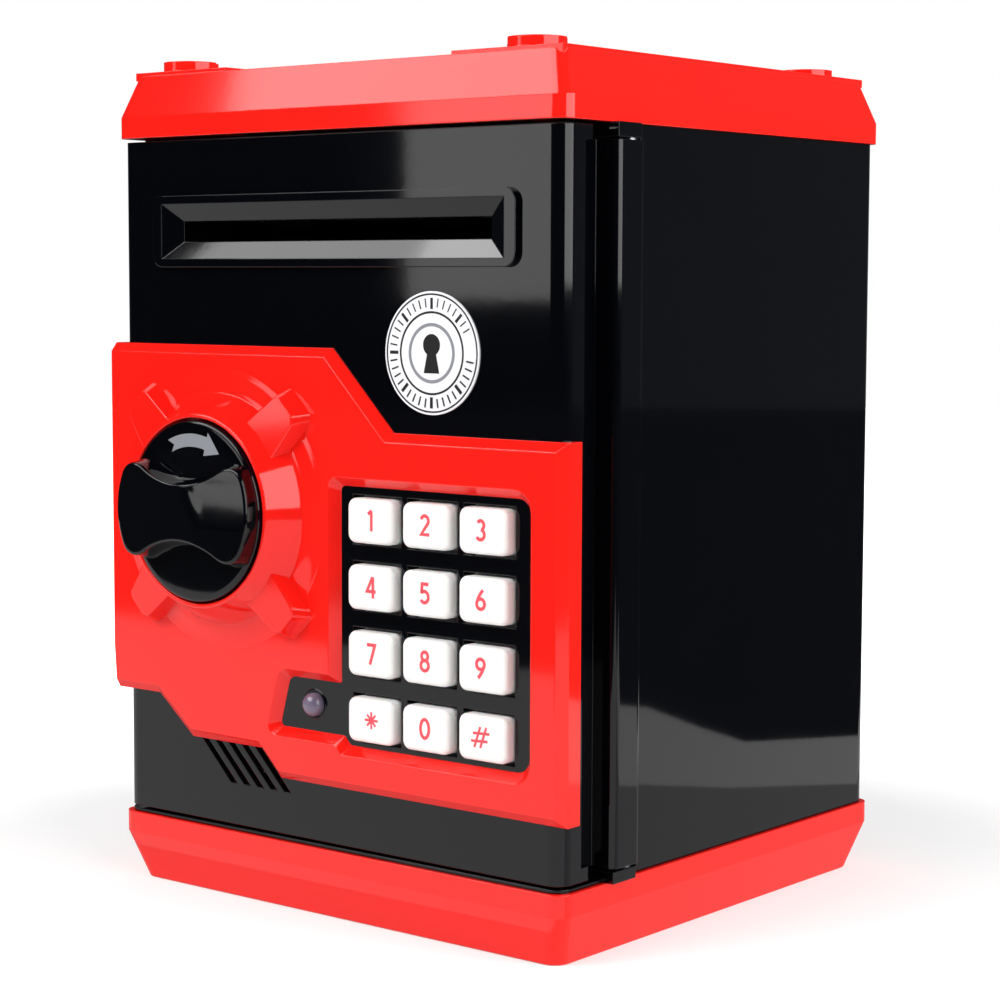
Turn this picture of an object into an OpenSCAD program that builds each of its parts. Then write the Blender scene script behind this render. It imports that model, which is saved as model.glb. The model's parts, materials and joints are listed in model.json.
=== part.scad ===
/* [Overall] */
// width across the base and the top cover
base_w = 131; // [122:1:160]
// depth across the base and the top cover
base_d = 122.5; // [114:0.5:150]
// height of the base
base_h = 15.8; // [14:0.1:24]
// height of the body between the base and the top cover
body_h = 157; // [150:1:200]
// height of the top cover up to its raised pads
cover_h = 14.2; // [12:0.1:20]
// step from the base in to the black body
body_inset = 1; // [0.4:0.1:2]
// radius of the upright corners of the base and cover
corner_r = 3.6; // [2.6:0.1:6]

/* [Walls] */
// wall of the black body
body_wall = 2.4; // [1.8:0.1:3]
// wall of the base and the top cover
shell_wall = 2.6; // [2:0.1:3.2]
// front wall of the door
door_wall = 2.4; // [1.8:0.1:3]
// wall of the box on the back of the door
back_wall = 1.8; // [1.4:0.1:2.4]

/* [Base and cover] */
// height of the upright band on the base
band_h = 4.8; // [3:0.1:8]
// slope of the base inwards at its foot
foot_inset = 3.5; // [1:0.1:6]
// slope of the cover inwards at its top
crown_inset = 3.1; // [1:0.1:6]
// half width of the lowered middle of the cover
channel_half = 33; // [24:0.5:36]
// height of the raised pads on the cover
pad_h = 0.8; // [0.4:0.1:1.4]
// diameter of the moulded bolt heads
bolt_d = 12.5; // [8:0.1:16]
// height of the moulded bolt heads above the pads
bolt_h = 2.2; // [1:0.1:4]
// slot in a moulded bolt head
bolt_slot = 3; // [1:0.1:4]
// inset of a bolt head's centre from the sides
bolt_in = 15; // [12:0.1:20]
// inset of a bolt head's centre from front and back
bolt_in_y = 10; // [10:0.1:16]
// length of the coin slot
coin_len = 34; // [26:1:40]
// width of the coin slot
coin_gap = 5; // [4.6:0.1:6]

/* [Door] */
// depth of the door's rim
door_depth = 6.95; // [6:0.05:9]
// gap under the door
door_gap_low = 1.5; // [1:0.1:2.5]
// gap over the door
door_gap_top = 0.9; // [0.6:0.1:2]
// radius of the door's upright edges
door_r = 3.5; // [2.6:0.1:5]
// depth of the box behind the door
box_depth = 25.3; // [23:0.1:30]
// width of the dark groove before the hinge
groove_w = 7.8; // [7.6:0.1:9]
// depth of the hinge bar from front to back
bar_d = 10; // [9.6:0.1:12]
// width of the hinge bar
bar_w = 6.5; // [6.3:0.1:8]
// how far the hinge bar stands out of the body
bar_out = 2.5; // [1.5:0.1:3]
// gap between the hinge bar and the side wall
bar_gap = 0.8; // [0.8:0.1:1.4]
// radius of the hinge pins
pin_r = 1.7; // [1.2:0.05:1.8]
// running clearance of pins and shafts
run_fit = 0.06; // [0.03:0.01:0.09]

/* [Bill slot] */
// width of the bill slot
slot_w = 90; // [70:1:92]
// height of the bill slot
slot_h = 4.6; // [4.4:0.1:5.4]
// height of the slot's middle under the top of the door
slot_down = 20.5; // [18:0.1:26]
// width of the slot's raised frame
bezel_w = 106; // [100:1:112]
// height of the slot's raised frame
bezel_h = 16.1; // [14:0.1:18]
// how far the slot's frame stands out
bezel_out = 1.2; // [0.8:0.1:2]

/* [Front panel] */
// how far the red panel stands out
panel_out = 2.3; // [2.3:0.1:4]
// how far the red panel wraps over the door's sides
panel_wrap = 2; // [1:0.1:3]
// bevel on the panel's edges
panel_bevel = 2; // [0.8:0.1:2.2]
// slope of its left edge, which has no bevel
panel_draft = 0.4; // [0.2:0.1:1]
// radius of the knob's collar at its foot
collar_r = 25.9; // [24.6:0.1:28]
// height of the knob's collar above the panel
collar_h = 8.1; // [7:0.1:11]
// length of a lug from the knob's axis
lug_len = 35.2; // [32:0.1:36]
// height of a lug above the panel
lug_h = 4.4; // [2:0.1:6]

/* [Knob] */
// radius of the knob's disc
knob_r = 20.2; // [18.4:0.1:20.4]
// height of the grip over the disc
grip_h = 4.9; // [3:0.1:8]
// radius of the scoops beside the grip
scoop_r = 21.6; // [18:0.1:24]
// distance of a scoop's centre from the axis
scoop_off = 27.8; // [26.6:0.1:30]
// distance of the knob's axis from the door's left edge
knob_in = 34.2; // [32:0.1:40]
// height of the knob's axis over the base
knob_up = 73.6; // [70:0.1:80]
// radius of the knob's shaft
shaft_r = 4; // [3:0.1:4.4]
// length of the latch arm from the knob's axis
arm_len = 31; // [29.5:0.1:32]

/* [Keys] */
// width of a key
key_w = 12.9; // [10:0.1:13.2]
// height of a key
key_h = 9.7; // [8:0.1:10.8]
// spacing of the key columns
pitch_x = 15.55; // [15:0.05:17]
// spacing of the key rows
pitch_z = 14.35; // [14:0.05:16]
// gap round a key
key_gap = 0.5; // [0.3:0.1:0.8]
// how far a key stands out of its plate
key_out = 2.65; // [2.5:0.05:5]
// travel of a key
key_travel = 1.1; // [0.6:0.1:1.2]
// distance of the right key column from the door's right edge
keys_in = 18.9; // [17.5:0.1:24]
// height of the lowest key row over the base
keys_up = 30.5; // [30:0.1:36]
// diameter of the lamp
led_d = 5.3; // [3:0.1:6]

/* [Grille] */
// number of grille slots
grille_n = 5; // [3:1:6]
// width of a grille slot
grille_gap = 2; // [1:0.1:2.4]
// spacing of the grille slots
grille_pitch = 4.2; // [4:0.1:5]
// diameter of the loudspeaker
speaker_d = 22; // [16:1:22]

/* [Bill feeder] */
// radius of a drive roller
roller_r = 8; // [7:0.1:8.4]
// radius of an idler roller
idler_r = 6; // [5:0.1:6.4]
// length of a roller
roller_len = 12; // [8:1:16]
// gap left for a bill between the rollers
bill_gap = 0.4; // [0.2:0.1:0.6]
// gear module
gear_m = 0.6; // [0.58:0.01:0.62]
// radius of the motor can
motor_r = 7.5; // [6:0.1:8]
// length of the motor can
motor_len = 24; // [16:1:30]

/* [Battery box] */
// diameter of a cell
cell_d = 14.5; // [10.5:0.1:14.5]
// length of a cell
cell_len = 50.5; // [44.5:0.1:50.5]
// room round a cell
cell_gap = 0.4; // [0.2:0.1:0.8]

/* [Hidden] */
$fn = 64;
e = 0.01;

RED = [0.85, 0.08, 0.06];
BLACK = [0.12, 0.12, 0.13];
GREY = [0.45, 0.45, 0.48];
STEEL = [0.75, 0.76, 0.78];
WHITE = [0.95, 0.95, 0.95];
GREEN = [0.1, 0.4, 0.2];

// body faces
xb = base_w / 2 - body_inset;
yb = base_d / 2 - body_inset;
xi = xb - body_wall;
yi = yb - body_wall;
lip = 0.8;
z_body = base_h;
z_cover = base_h + body_h;
z_top = z_cover + cover_h;
// door faces
yf = -yb;
yd = yf + door_depth;
dz0 = z_body + door_gap_low;
dz1 = z_cover - door_gap_top;
rim = 2.2;
xr = xb - rim;
// hinge bar and its axis
bar_y0 = yd + groove_w;
bar_y1 = bar_y0 + bar_d;
bar_x1 = xb + bar_out;
bar_x0 = bar_x1 - bar_w;
hx = bar_x1 - 2.8;
hy = bar_y1 - 2.8;
lug_low = 2.5;
lug_top = 3;
ear_flat = 0.7;
ear_cut = 1.4;
bar_z0 = z_body + lug_low + 0.5;
bar_z1 = z_cover - lug_top - 0.5;
wall_y0 = bar_y1 + bar_gap;
neck_x0 = bar_x0 - 1.7;
neck_x1 = bar_x0 + 0.8;
neck_y1 = bar_y0 + 1;
// box behind the door
bx0 = -xb + 9.5;
bx1 = xb - 17;
by1 = yd + box_depth;
bz0 = dz0 + 4.7;
bz1 = dz1 - 4.9;
plate_y = yd - back_wall;
kx1 = neck_x0 - 0.6;
ky1 = bar_y0 - 0.5;
// knob
kx = -xb + knob_in;
kz = z_body + knob_up;
yp = yf - panel_out;
collar_top = yp - collar_h;
disc_front = collar_top - 0.8;
disc_t = 5;
disc_back = disc_front + disc_t;
seat_y = disc_back + 0.3;
hub_r = shaft_r + 2;
// keys
cols = [xb - keys_in - 2 * pitch_x, xb - keys_in - pitch_x, xb - keys_in];
row0 = z_body + keys_up;
plate_t = door_wall;
flange_t = 1.5;
kp_back = yf + plate_t + flange_t;
kf = kp_back + 0.15;
kf_t = 1;
stem = 1;
mat_y = kf + kf_t + stem + key_travel + 0.15;
mat_t = 0.8;
board_t = 1.6;
// keypad opening of the red panel
ox0 = cols[0] - 10.2;
ox1 = cols[2] + 10.7;
oz0 = row0 - 6.4;
oz1 = row0 + 3 * pitch_z + 7.1;
tab_x = ox0 - 18.5;
tab_z0 = oz0 + 1.9;
tab_z1 = oz0 + 13.3;
led_x = cols[0] - 18.3;
led_z = row0 + 1.4;
// opening of the door under the red panel
dox0 = tab_x - 3.8;
dox1 = ox1 + 1;
doz0 = oz0 - 2.1;
doz1 = oz1 + 2.3;
board_x0 = cols[0] - key_w / 2 - 5.4;
board_x1 = cols[2] + key_w / 2 + 3.8;
// bill slot and feeder
sz = dz1 - slot_down;
plug_w = slot_w + 10;
plug_h = 11.8;
bezel_back = yf + door_wall + 0.85;
path_z0 = sz - slot_h / 2 - 0.2;
path_z1 = sz + slot_h / 2 + 0.2;
chute_t = 1.5;
fy = yd + 10.3;
bill_z = path_z0 + 2.1;
rz = bill_z - bill_gap / 2 - roller_r;
iz = bill_z + bill_gap / 2 + idler_r;
N_R = 12;
N_A = 18;
N_B = 30;
N_P = 12;
slack = 0.1;
az = rz - gear_m * (N_R + N_A) / 2 - slack;
pz = az - gear_m * (N_B + N_P) / 2 - slack;
side_x1 = bx1 - back_wall - 8.2;
side_x0 = side_x1 - 2;
g1 = side_x1 + 1;
g2 = g1 + 3.1;
gw = 2.4;
left_x = bx0 + back_wall + 1.7;
roll_x = slot_w / 4;
mr = motor_r;
// solenoid
sol_y = yd + 4.8;
disc_y0 = yd + 3.3;
lock_r = 9;
plunger_r = 2.5;
plunger_top = kz - lock_r - 0.8;
// battery
bb_y = 5.5;
bb_l = cell_len + 2 * cell_gap + 5;
bb_w = 3 * (cell_d + cell_gap) + cell_gap;
bb_wall = 1.2;
bb_z0 = 2.6;
bb_z1 = bb_z0 + cell_d + cell_gap;
bd_w = bb_w + 2 * bb_wall;
bd_l = bb_l + 2 * bb_wall;
floor_z0 = base_h - 1.8;
// speaker
sp_x = kx - 4;
sp_z = dz0 + 17.9;
sp_turns = [330, 110, 250];

module box(x0, x1, y0, y1, z0, z1) {
  translate([x0, y0, z0]) cube([x1 - x0, y1 - y0, z1 - z0]);
}
module cyl_y(r, y0, y1, x, z) {
  translate([x, y1, z]) rotate([90, 0, 0]) cylinder(h = y1 - y0, r = r);
}
module cyl_x(r, x0, x1, y, z) {
  translate([x0, y, z]) rotate([0, 90, 0]) cylinder(h = x1 - x0, r = r);
}
module cyl_z(r, x, y, z0, z1) {
  translate([x, y, z0]) cylinder(h = z1 - z0, r = r);
}
module slab_xz(pts, y0, y1) {
  translate([0, y1, 0]) rotate([90, 0, 0]) linear_extrude(y1 - y0) polygon(pts);
}
module round_sq(w, d, r) {
  square([w - 2 * r, d], center = true);
  square([w, d - 2 * r], center = true);
  for (i = [-1, 1], j = [-1, 1]) translate([i * (w / 2 - r), j * (d / 2 - r)]) circle(r);
}
// plain screw along Y: head towards +Y, shank towards -Y
module screw_y(x, z, y, r, hr, hh, l) {
  cyl_y(hr, y, y + hh, x, z);
  cyl_y(r, y - l, y + e, x, z);
}

// outline of the door and body corners in plan
module door_plan() {
  translate([-xb + door_r, yf]) square([2 * (xb - door_r), door_depth]);
  translate([-xb, yf + door_r]) square([2 * xb, door_depth - door_r]);
  for (i = [-1, 1]) translate([i * (xb - door_r), yf + door_r]) circle(door_r);
}
module body_plan(w, d0, d1, r) {
  translate([-w, d0]) square([2 * w, d1 - r - d0]);
  translate([-w + r, d0]) square([2 * (w - r), d1 - d0]);
  for (i = [-1, 1]) translate([i * (w - r), d1 - r]) circle(r);
}
module tapered(w0, d0, z0, w1, d1, z1, r0, r1) {
  hull() {
    translate([0, 0, z0]) linear_extrude(e) round_sq(w0, d0, r0);
    translate([0, 0, z1 - e]) linear_extrude(e) round_sq(w1, d1, r1);
  }
}

base_pts = [[1, 1], [1, -1], [-1, 1], [-1, -1]];
bs_x = base_w / 2 - 10.5;
bs_y = base_d / 2 - 11.5;

module base_tray() color(RED) {
  difference() {
    union() {
      tapered(base_w - 2 * foot_inset, base_d - 2 * foot_inset, 0, base_w, base_d,
        base_h - band_h + e, corner_r, corner_r, $fn = 48);
      translate([0, 0, base_h - band_h]) linear_extrude(band_h) round_sq(base_w, base_d, corner_r);
    }
    difference() {
      translate([0, 0, 2.4]) linear_extrude(base_h)
        round_sq(base_w - 2 * (shell_wall + foot_inset), base_d - 2 * (shell_wall + foot_inset), 2);
      for (p = base_pts) cyl_z(4.5, p[0] * bs_x, p[1] * bs_y, 0, floor_z0);
    }
    translate([0, 0, floor_z0]) linear_extrude(base_h)
      round_sq(base_w - 2 * shell_wall, base_d - 2 * shell_wall, 2);
    for (p = base_pts) {
      cyl_z(3.2, p[0] * bs_x, p[1] * bs_y, -1, 9);
      cyl_z(1.5, p[0] * bs_x, p[1] * bs_y, 8, base_h);
    }
    box(-bd_l / 2, bd_l / 2, bb_y, bb_y + bd_w, -1, 3);
    cyl_z(0.8, hx, hy, floor_z0 - 2, base_h + 1);
    cyl_x(0.8, base_w / 2 - 9, hx, hy, floor_z0 - 2);
    translate([hx, hy, floor_z0 - 2]) sphere(0.8);
  }
}

module body_shell() color(BLACK) {
  difference() {
    union() {
      // side and back walls
      difference() {
        translate([0, 0, z_body]) linear_extrude(body_h) body_plan(xb, yd + 0.5, yb, door_r);
        translate([0, 0, z_body - 1]) linear_extrude(body_h + 2) body_plan(xi, -base_d, yi, 1.6);
        box(xi - 5, base_w, -base_d, wall_y0, z_body - 1, z_cover + 1);
      }
      // floor
      translate([0, 0, floor_z0]) linear_extrude(base_h - floor_z0 + e)
        round_sq(base_w - 2 * shell_wall - 0.2, base_d - 2 * shell_wall - 0.2, 2);
      translate([0, 0, base_h]) linear_extrude(lip) round_sq(2 * xb, 2 * yb, door_r);
      // hinge ears
      for (z = [[z_body, z_body + lug_low], [z_cover - lug_top, z_cover]])
        translate([0, 0, z[0]]) linear_extrude(z[1] - z[0])
          polygon([[bar_x0, bar_y0], [bar_x1, bar_y0], [bar_x1, hy + ear_flat], [bar_x1 - ear_cut, bar_y1],
            [xb, bar_y1 + (bar_x1 - ear_cut - xb) * (bar_y1 - hy - ear_flat) / ear_cut],
            [xb, wall_y0 + 3], [bar_x0, wall_y0 + 3]]);
      // screw ledges at the back
      for (i = [-1, 1]) box(i * (xi - 4) - 4.2, i * (xi - 4) + 4.2, yi - 8, yi + 0.5, z_cover - 4.3, z_cover - 2.3);
      // screw bosses under the floor
      for (p = base_pts) cyl_z(3, p[0] * bs_x, p[1] * bs_y, floor_z0, base_h + 4);
    }
    box(-bd_l / 2 - 0.2, bd_l / 2 + 0.2, bb_y - 0.2, bb_y + bd_w + 0.2, floor_z0 - 1, base_h + 3);
    for (p = base_pts) cyl_z(1.2, p[0] * bs_x, p[1] * bs_y, floor_z0 - 1, base_h + 3);
    cyl_z(pin_r, hx, hy, z_body - 3, z_body + lug_low + 1);
    cyl_z(pin_r, hx, hy, z_cover - lug_top - 1, z_cover + 1);
    for (i = [-1, 1]) cyl_z(1.5, i * (xi - 4), yi - 4, z_cover - 5, z_cover - 1);
  }
}

cb_y = yd + 11.3;
module top_cover() color(RED) {
  w1 = base_w - 2 * crown_inset;
  d1 = base_d - 2 * crown_inset;
  difference() {
    union() {
      translate([0, 0, z_cover]) linear_extrude(band_h) round_sq(base_w, base_d, corner_r);
      tapered(base_w, base_d, z_cover + band_h - e, w1, d1, z_top, corner_r, corner_r, $fn = 48);
      for (i = [-1, 1]) {
        box(i > 0 ? channel_half : -w1 / 2 + 0.4, i > 0 ? w1 / 2 - 0.4 : -channel_half,
          -d1 / 2 + 0.4, d1 / 2 - 0.4, z_top - 1, z_top + pad_h);
        for (j = [-1, 1]) cyl_z(bolt_d / 2, i * (base_w / 2 - bolt_in), j * (base_d / 2 - bolt_in_y),
          z_top - 1, z_top + pad_h + bolt_h);
      }
    }
    difference() {
      union() {
        translate([0, 0, z_cover - 1]) linear_extrude(cover_h + 1 - shell_wall)
          round_sq(w1 - 2 * shell_wall, d1 - 2 * shell_wall, 2);
        translate([0, 0, z_cover - 1]) linear_extrude(band_h + 1)
          round_sq(base_w - 2 * shell_wall + 0.4, base_d - 2 * shell_wall + 0.4, 2);
      }
      for (i = [-1, 1]) {
        cyl_z(3.4, i * (xi - 4), yi - 4, z_cover - 2.3, z_top);
        cyl_z(3.4, i * (xi - 16), cb_y, z_cover, z_top);
      }
    }
    for (i = [-1, 1]) {
      cyl_z(1.2, i * (xi - 4), yi - 4, z_cover - 3, z_cover + 7);
      cyl_z(1.2, i * (xi - 16), cb_y, z_cover - 1, z_cover + 7);
      for (j = [-1, 1]) translate([i * (base_w / 2 - bolt_in), j * (base_d / 2 - bolt_in_y), z_top + pad_h + bolt_h])
        rotate([0, 0, 35]) cube([bolt_d + 2, bolt_slot, 3], center = true);
    }
    box(-coin_len / 2, coin_len / 2, -coin_gap / 2, coin_gap / 2, z_cover, z_top + 5);
  }
  // the rims of the screw bosses reach down to the back ledges
}

post_x0 = -xi;
post_x1 = -xi + 4.6;
post_y0 = yd + 0.5;
post_y1 = by1 + 0.9 - 1.5;
rp_x0 = bar_x0 - 4;
rp_x1 = bar_x0 - 1.3;
rp_y0 = bar_y0 + 2.5;
rp_y1 = wall_y0 + 3.7;
module door_frame() color(BLACK) {
  difference() {
    union() {
      box(post_x0, post_x1, post_y0, post_y1, z_body + lip, z_cover);
      box(post_x0, rp_x1, post_y0, rp_y1, z_cover - 2.4, z_cover);
      box(post_x0, neck_x0 - 0.8, post_y0, post_y0 + 2.4, z_cover - 4.8, z_cover);
      box(post_x0, rp_x1, post_y0, rp_y1, z_body + lip, z_body + lip + 1.8);
      box(post_x0, neck_x0 - 0.8, post_y0, post_y0 + 2.4, z_body + lip, z_body + lip + 3.9);
      box(rp_x0, rp_x1, rp_y0, rp_y1, z_body + lip, z_cover);
      box(rp_x1 - e, xi, rp_y1 - 3, rp_y1, z_body + lip + 2, z_cover - lug_top);
    }
    for (i = [-1, 1]) cyl_z(1.5, i * (xi - 16), cb_y, z_cover - 5, z_cover + 1);
    for (i = [-1, 1]) cyl_z(3.2, i * bs_x, -bs_y, z_body - 1, z_body + 4.4);
  }
}

module battery_box() color(GREY) {
  difference() {
    box(-bd_l / 2, bd_l / 2, bb_y, bb_y + bd_w, bb_z0 - 0.2, bb_z1 + bb_wall);
    box(-bb_l / 2, bb_l / 2, bb_y + bb_wall, bb_y + bb_wall + bb_w, bb_z0 - 1, bb_z1);
    cyl_z(1, -bd_l / 2 + 0.6, bb_y + bd_w / 2, 0, 1);
  }
  // ribs between the cells
  for (i = [1, 2]) box(-cell_len / 2 + 6, cell_len / 2 - 6,
    bb_y + bb_wall + cell_gap / 2 + i * (cell_d + cell_gap) - 0.1,
    bb_y + bb_wall + cell_gap / 2 + i * (cell_d + cell_gap) + 0.1, bb_z1 - 3, bb_z1 + e);
}
module battery_door() color(RED) {
  difference() {
    union() {
      box(-bd_l / 2 + 0.2, bd_l / 2 - 0.2, bb_y + 0.2, bb_y + bd_w - 0.2, 0.2, 2.2);
      box(-bd_l / 2 - 0.0, -bd_l / 2 + 0.2 + e, bb_y + 10, bb_y + 20, 0.8, 1.8);
    }
    cyl_z(1.3, bd_l / 2 - 2.4, bb_y + bd_w / 2, -1, 3);
    cyl_z(2.2, bd_l / 2 - 2.4, bb_y + bd_w / 2, -1, 1.2);
    for (i = [0 : 4]) box(-bd_l / 2 + 6, -bd_l / 2 + 14, bb_y + bd_w / 2 - 9 + i * 4, bb_y + bd_w / 2 - 7 + i * 4, -1, 0.7);
  }
}
module battery_door_screw() color(STEEL) {
  difference() {
    union() {
      cyl_z(2.1, bd_l / 2 - 2.4, bb_y + bd_w / 2, 0.3, 1.2);
      cyl_z(1, bd_l / 2 - 2.4, bb_y + bd_w / 2, 1.2 - e, 6);
    }
    box(bd_l / 2 - 4, bd_l / 2 - 0.8, bb_y + bd_w / 2 - 0.3, bb_y + bd_w / 2 + 0.3, 0, 0.7);
  }
}
function cell_y(i) = bb_y + bb_wall + cell_gap + cell_d / 2 + i * (cell_d + cell_gap);
cell_z = bb_z0 + cell_d / 2 + 0.1;
module battery_cells() color([0.2, 0.35, 0.6]) for (i = [0 : 2]) {
  s = i == 1 ? -1 : 1;
  cyl_x(cell_d / 2, -cell_len / 2, cell_len / 2 - 1.4, cell_y(i), cell_z);
  cyl_x(cell_d * 0.19, cell_len / 2 - 1.5, cell_len / 2, cell_y(i), cell_z);
}
module battery_contacts() color(STEEL) for (i = [0 : 2]) {
  box(cell_len / 2, cell_len / 2 + 0.5, cell_y(i) - 5, cell_y(i) + 5, cell_z - 5, cell_z + 5);
  box(cell_len / 2 + 0.5 - e, bb_l / 2, cell_y(i) - 2, cell_y(i) + 2, cell_z + 2, cell_z + 4);
  box(-bb_l / 2, -bb_l / 2 + 0.5, cell_y(i) - 5, cell_y(i) + 5, cell_z - 5, cell_z + 5);
  for (k = [0 : 2]) cyl_x(4 - k, -bb_l / 2 + 0.5 + k * 0.75 - e, -bb_l / 2 + 0.5 + (k + 1) * 0.75, cell_y(i), cell_z);
}
module base_screws() color(STEEL) for (p = base_pts) difference() {
  union() {
    cyl_z(2.8, p[0] * bs_x, p[1] * bs_y, 6.8, 9);
    cyl_z(1.2, p[0] * bs_x, p[1] * bs_y, 9 - e, base_h + 2.5);
  }
  box(p[0] * bs_x - 2.2, p[0] * bs_x + 2.2, p[1] * bs_y - 0.4, p[1] * bs_y + 0.4, 6, 7.8);
}
module cover_screws() color(STEEL) for (i = [-1, 1]) {
  cyl_z(2.8, i * (xi - 4), yi - 4, z_cover - 5.9, z_cover - 4.3);
  cyl_z(1.2, i * (xi - 4), yi - 4, z_cover - 4.3 - e, z_cover + 5);
  cyl_z(2.8, i * (xi - 16), cb_y, z_cover - 4, z_cover - 2.4);
  cyl_z(1.2, i * (xi - 16), cb_y, z_cover - 2.4 - e, z_cover + 5);
}
module hinge_pin_upper() color(STEEL) cyl_z(pin_r, hx, hy, bar_z1 - 9, z_cover - 0.1);
module hinge_pin_lower() color(STEEL) difference() {
  cyl_z(pin_r, hx, hy, z_body + 0.1, bar_z0 + 9);
  cyl_z(0.8, hx, hy, z_body, bar_z0 + 10);
}
loom_r = 0.6;
loom_z = floor_z0 - 2;
meet_z = bar_z0 + 5;
out_z = bar_z0 + 21;
module loom_base() color([0.5, 0.05, 0.05]) {
  cyl_z(loom_r, hx, hy, loom_z, meet_z);
  translate([hx, hy, loom_z]) sphere(loom_r, $fn = 32);
  cyl_x(loom_r, bd_l / 2 + 6, hx, hy, loom_z);
  translate([bd_l / 2 + 6, hy, loom_z]) sphere(loom_r, $fn = 32);
  cyl_y(loom_r, hy, bb_y + 10, bd_l / 2 + 6, loom_z);
  translate([bd_l / 2 + 6, bb_y + 10, loom_z]) sphere(loom_r, $fn = 32);
  cyl_x(loom_r, bd_l / 2, bd_l / 2 + 6, bb_y + 10, loom_z);
}
// way of the loom out of the hinge bar
lx = kx1 - back_wall - 1.5;
ly = ky1 - back_wall - 1;
l_ang = atan2(ly - hy, lx - hx);
l_len = sqrt((lx - hx) * (lx - hx) + (ly - hy) * (ly - hy));
module loom_way(r) {
  translate([hx, hy, out_z]) rotate([0, 0, l_ang]) rotate([0, 90, 0]) cylinder(h = l_len, r = r);
  translate([hx, hy, out_z]) sphere(r, $fn = 32);
}
module loom_door() color([0.5, 0.05, 0.05]) {
  cyl_z(loom_r, hx, hy, meet_z, out_z);
  translate([hx, hy, out_z]) rotate([0, 0, l_ang]) rotate([0, 90, 0]) cylinder(h = l_len, r = loom_r);
  for (p = [[hx, hy], [lx, ly]]) translate([p[0], p[1], out_z]) sphere(loom_r + 0.08, $fn = 32);
  cyl_z(loom_r, lx, ly, out_z, out_z + 4);
  box(lx - 3, lx + 1, mat_y + mat_t + board_t, ly - 0.2, out_z + 4, out_z + 9);
  box(lx - 2, lx + 0.7, ly - 0.7, ly + 0.6, out_z + 3.9, out_z + 9);
}

// grille slots run down to the right at 45 degrees
gr_z = z_body + 11;
gr_x = kx + 0.3;
module grille_cuts(y0, y1) {
  for (i = [0 : grille_n - 1]) {
    x = gr_x + i * grille_pitch;
    slab_xz([[x, gr_z], [x + grille_gap, gr_z], [x + grille_gap - 11, gr_z + 11], [x - 11, gr_z + 11]], y0, y1);
  }
}

// posts on the inside of the door's front wall, where screws go in
back_pts = [[-xb + 5.4, dz0 + 7], [-xb + 5.4, dz1 - 7], [xb - 12.5, dz1 - 7], [xb - 12.5, dz0 + 7], [-xb + 5.4, (dz0 + dz1) / 2]];
feed_pts = [[left_x + 4, rz - 9], [side_x0 - 4, rz - 9], [left_x + 4, sz + 9.3], [side_x0 - 4, sz + 9.3]];
panel_pts = [[-xb + 12, z_body + 36], [-xb + 12, kz + 28], [kx + 23, z_body + 17.4], [ox1 + 2.9, (oz0 + oz1) / 2], [kx + 25, kz + 22]];
module door_shell() color(BLACK) {
  difference() {
    union() {
      difference() {
        translate([0, 0, dz0]) linear_extrude(dz1 - dz0) door_plan();
        box(-xr, xr, yf + door_wall, yd + 1, dz0 + rim, dz1 - rim);
      }
      // rim tabs over and under the groove
      box(xb - rim, xb, yd - e, yd + 2.4, dz0, dz0 + 3);
      box(xb - rim, xb, yd - e, yd + 2.4, dz1 - 2.9, dz1);
      // neck and hinge bar
      box(neck_x0, neck_x1, plate_y, neck_y1, bar_z0, bar_z1);
      box(neck_x0, xb - e, plate_y, yd, bar_z0, bar_z1);
      translate([0, 0, bar_z0]) linear_extrude(bar_z1 - bar_z0) {
        translate([bar_x0, bar_y0]) square([bar_w - 2, bar_d]);
        translate([bar_x0, bar_y0 + 1.7]) square([bar_w, bar_d - 3.7]);
        translate([bar_x1 - 1.7, bar_y0 + 1.7]) circle(1.7);
        translate([bar_x1 - 2, bar_y1 - 2]) circle(2);
        translate([bar_x0, bar_y0]) square([bar_w - 1.7, 3]);
      }
      // screw posts
      for (p = back_pts) cyl_y(2.6, yf + 1, plate_y, p[0], p[1]);
      for (p = feed_pts) cyl_y(2.6, yf + 1, yf + door_wall + 2, p[0], p[1]);
      for (a = sp_turns) cyl_y(2.4, yf + 1, yf + door_wall + 3, sp_x + (speaker_d / 2 + 2.6) * sin(a),
        sp_z + (speaker_d / 2 + 2.6) * cos(a));
    }
    // bill slot
    box(-plug_w / 2 - 0.2, plug_w / 2 + 0.2, yf - 1, yf + door_wall + 1, sz - plug_h / 2 - 0.2, sz + plug_h / 2 + 0.2);
    // keypad
    box(dox0, dox1, yf - 1, yf + door_wall + 1, doz0, doz1);
    // knob
    cyl_y(hub_r + 1, yf - 1, yf + door_wall + 1, kx, kz);
    grille_cuts(yf - 1, yf + door_wall + 0.5);
    for (p = back_pts) cyl_y(0.9, yf + door_wall - 1, yd, p[0], p[1]);
    for (p = feed_pts) cyl_y(0.9, yf + 1, yd, p[0], p[1]);
    for (a = sp_turns) cyl_y(0.8, yf + 1.2, yd, sp_x + (speaker_d / 2 + 2.6) * sin(a),
      sp_z + (speaker_d / 2 + 2.6) * cos(a));
    for (p = panel_pts) cyl_y(1.2, yf - 1, yd, p[0], p[1]);
    // hinge bores
    cyl_z(pin_r + run_fit, hx, hy, bar_z1 - 10, bar_z1 + 1);
    cyl_z(pin_r + run_fit, hx, hy, bar_z0 - 1, out_z + 1);
    loom_way(0.8);
  }
}

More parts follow.
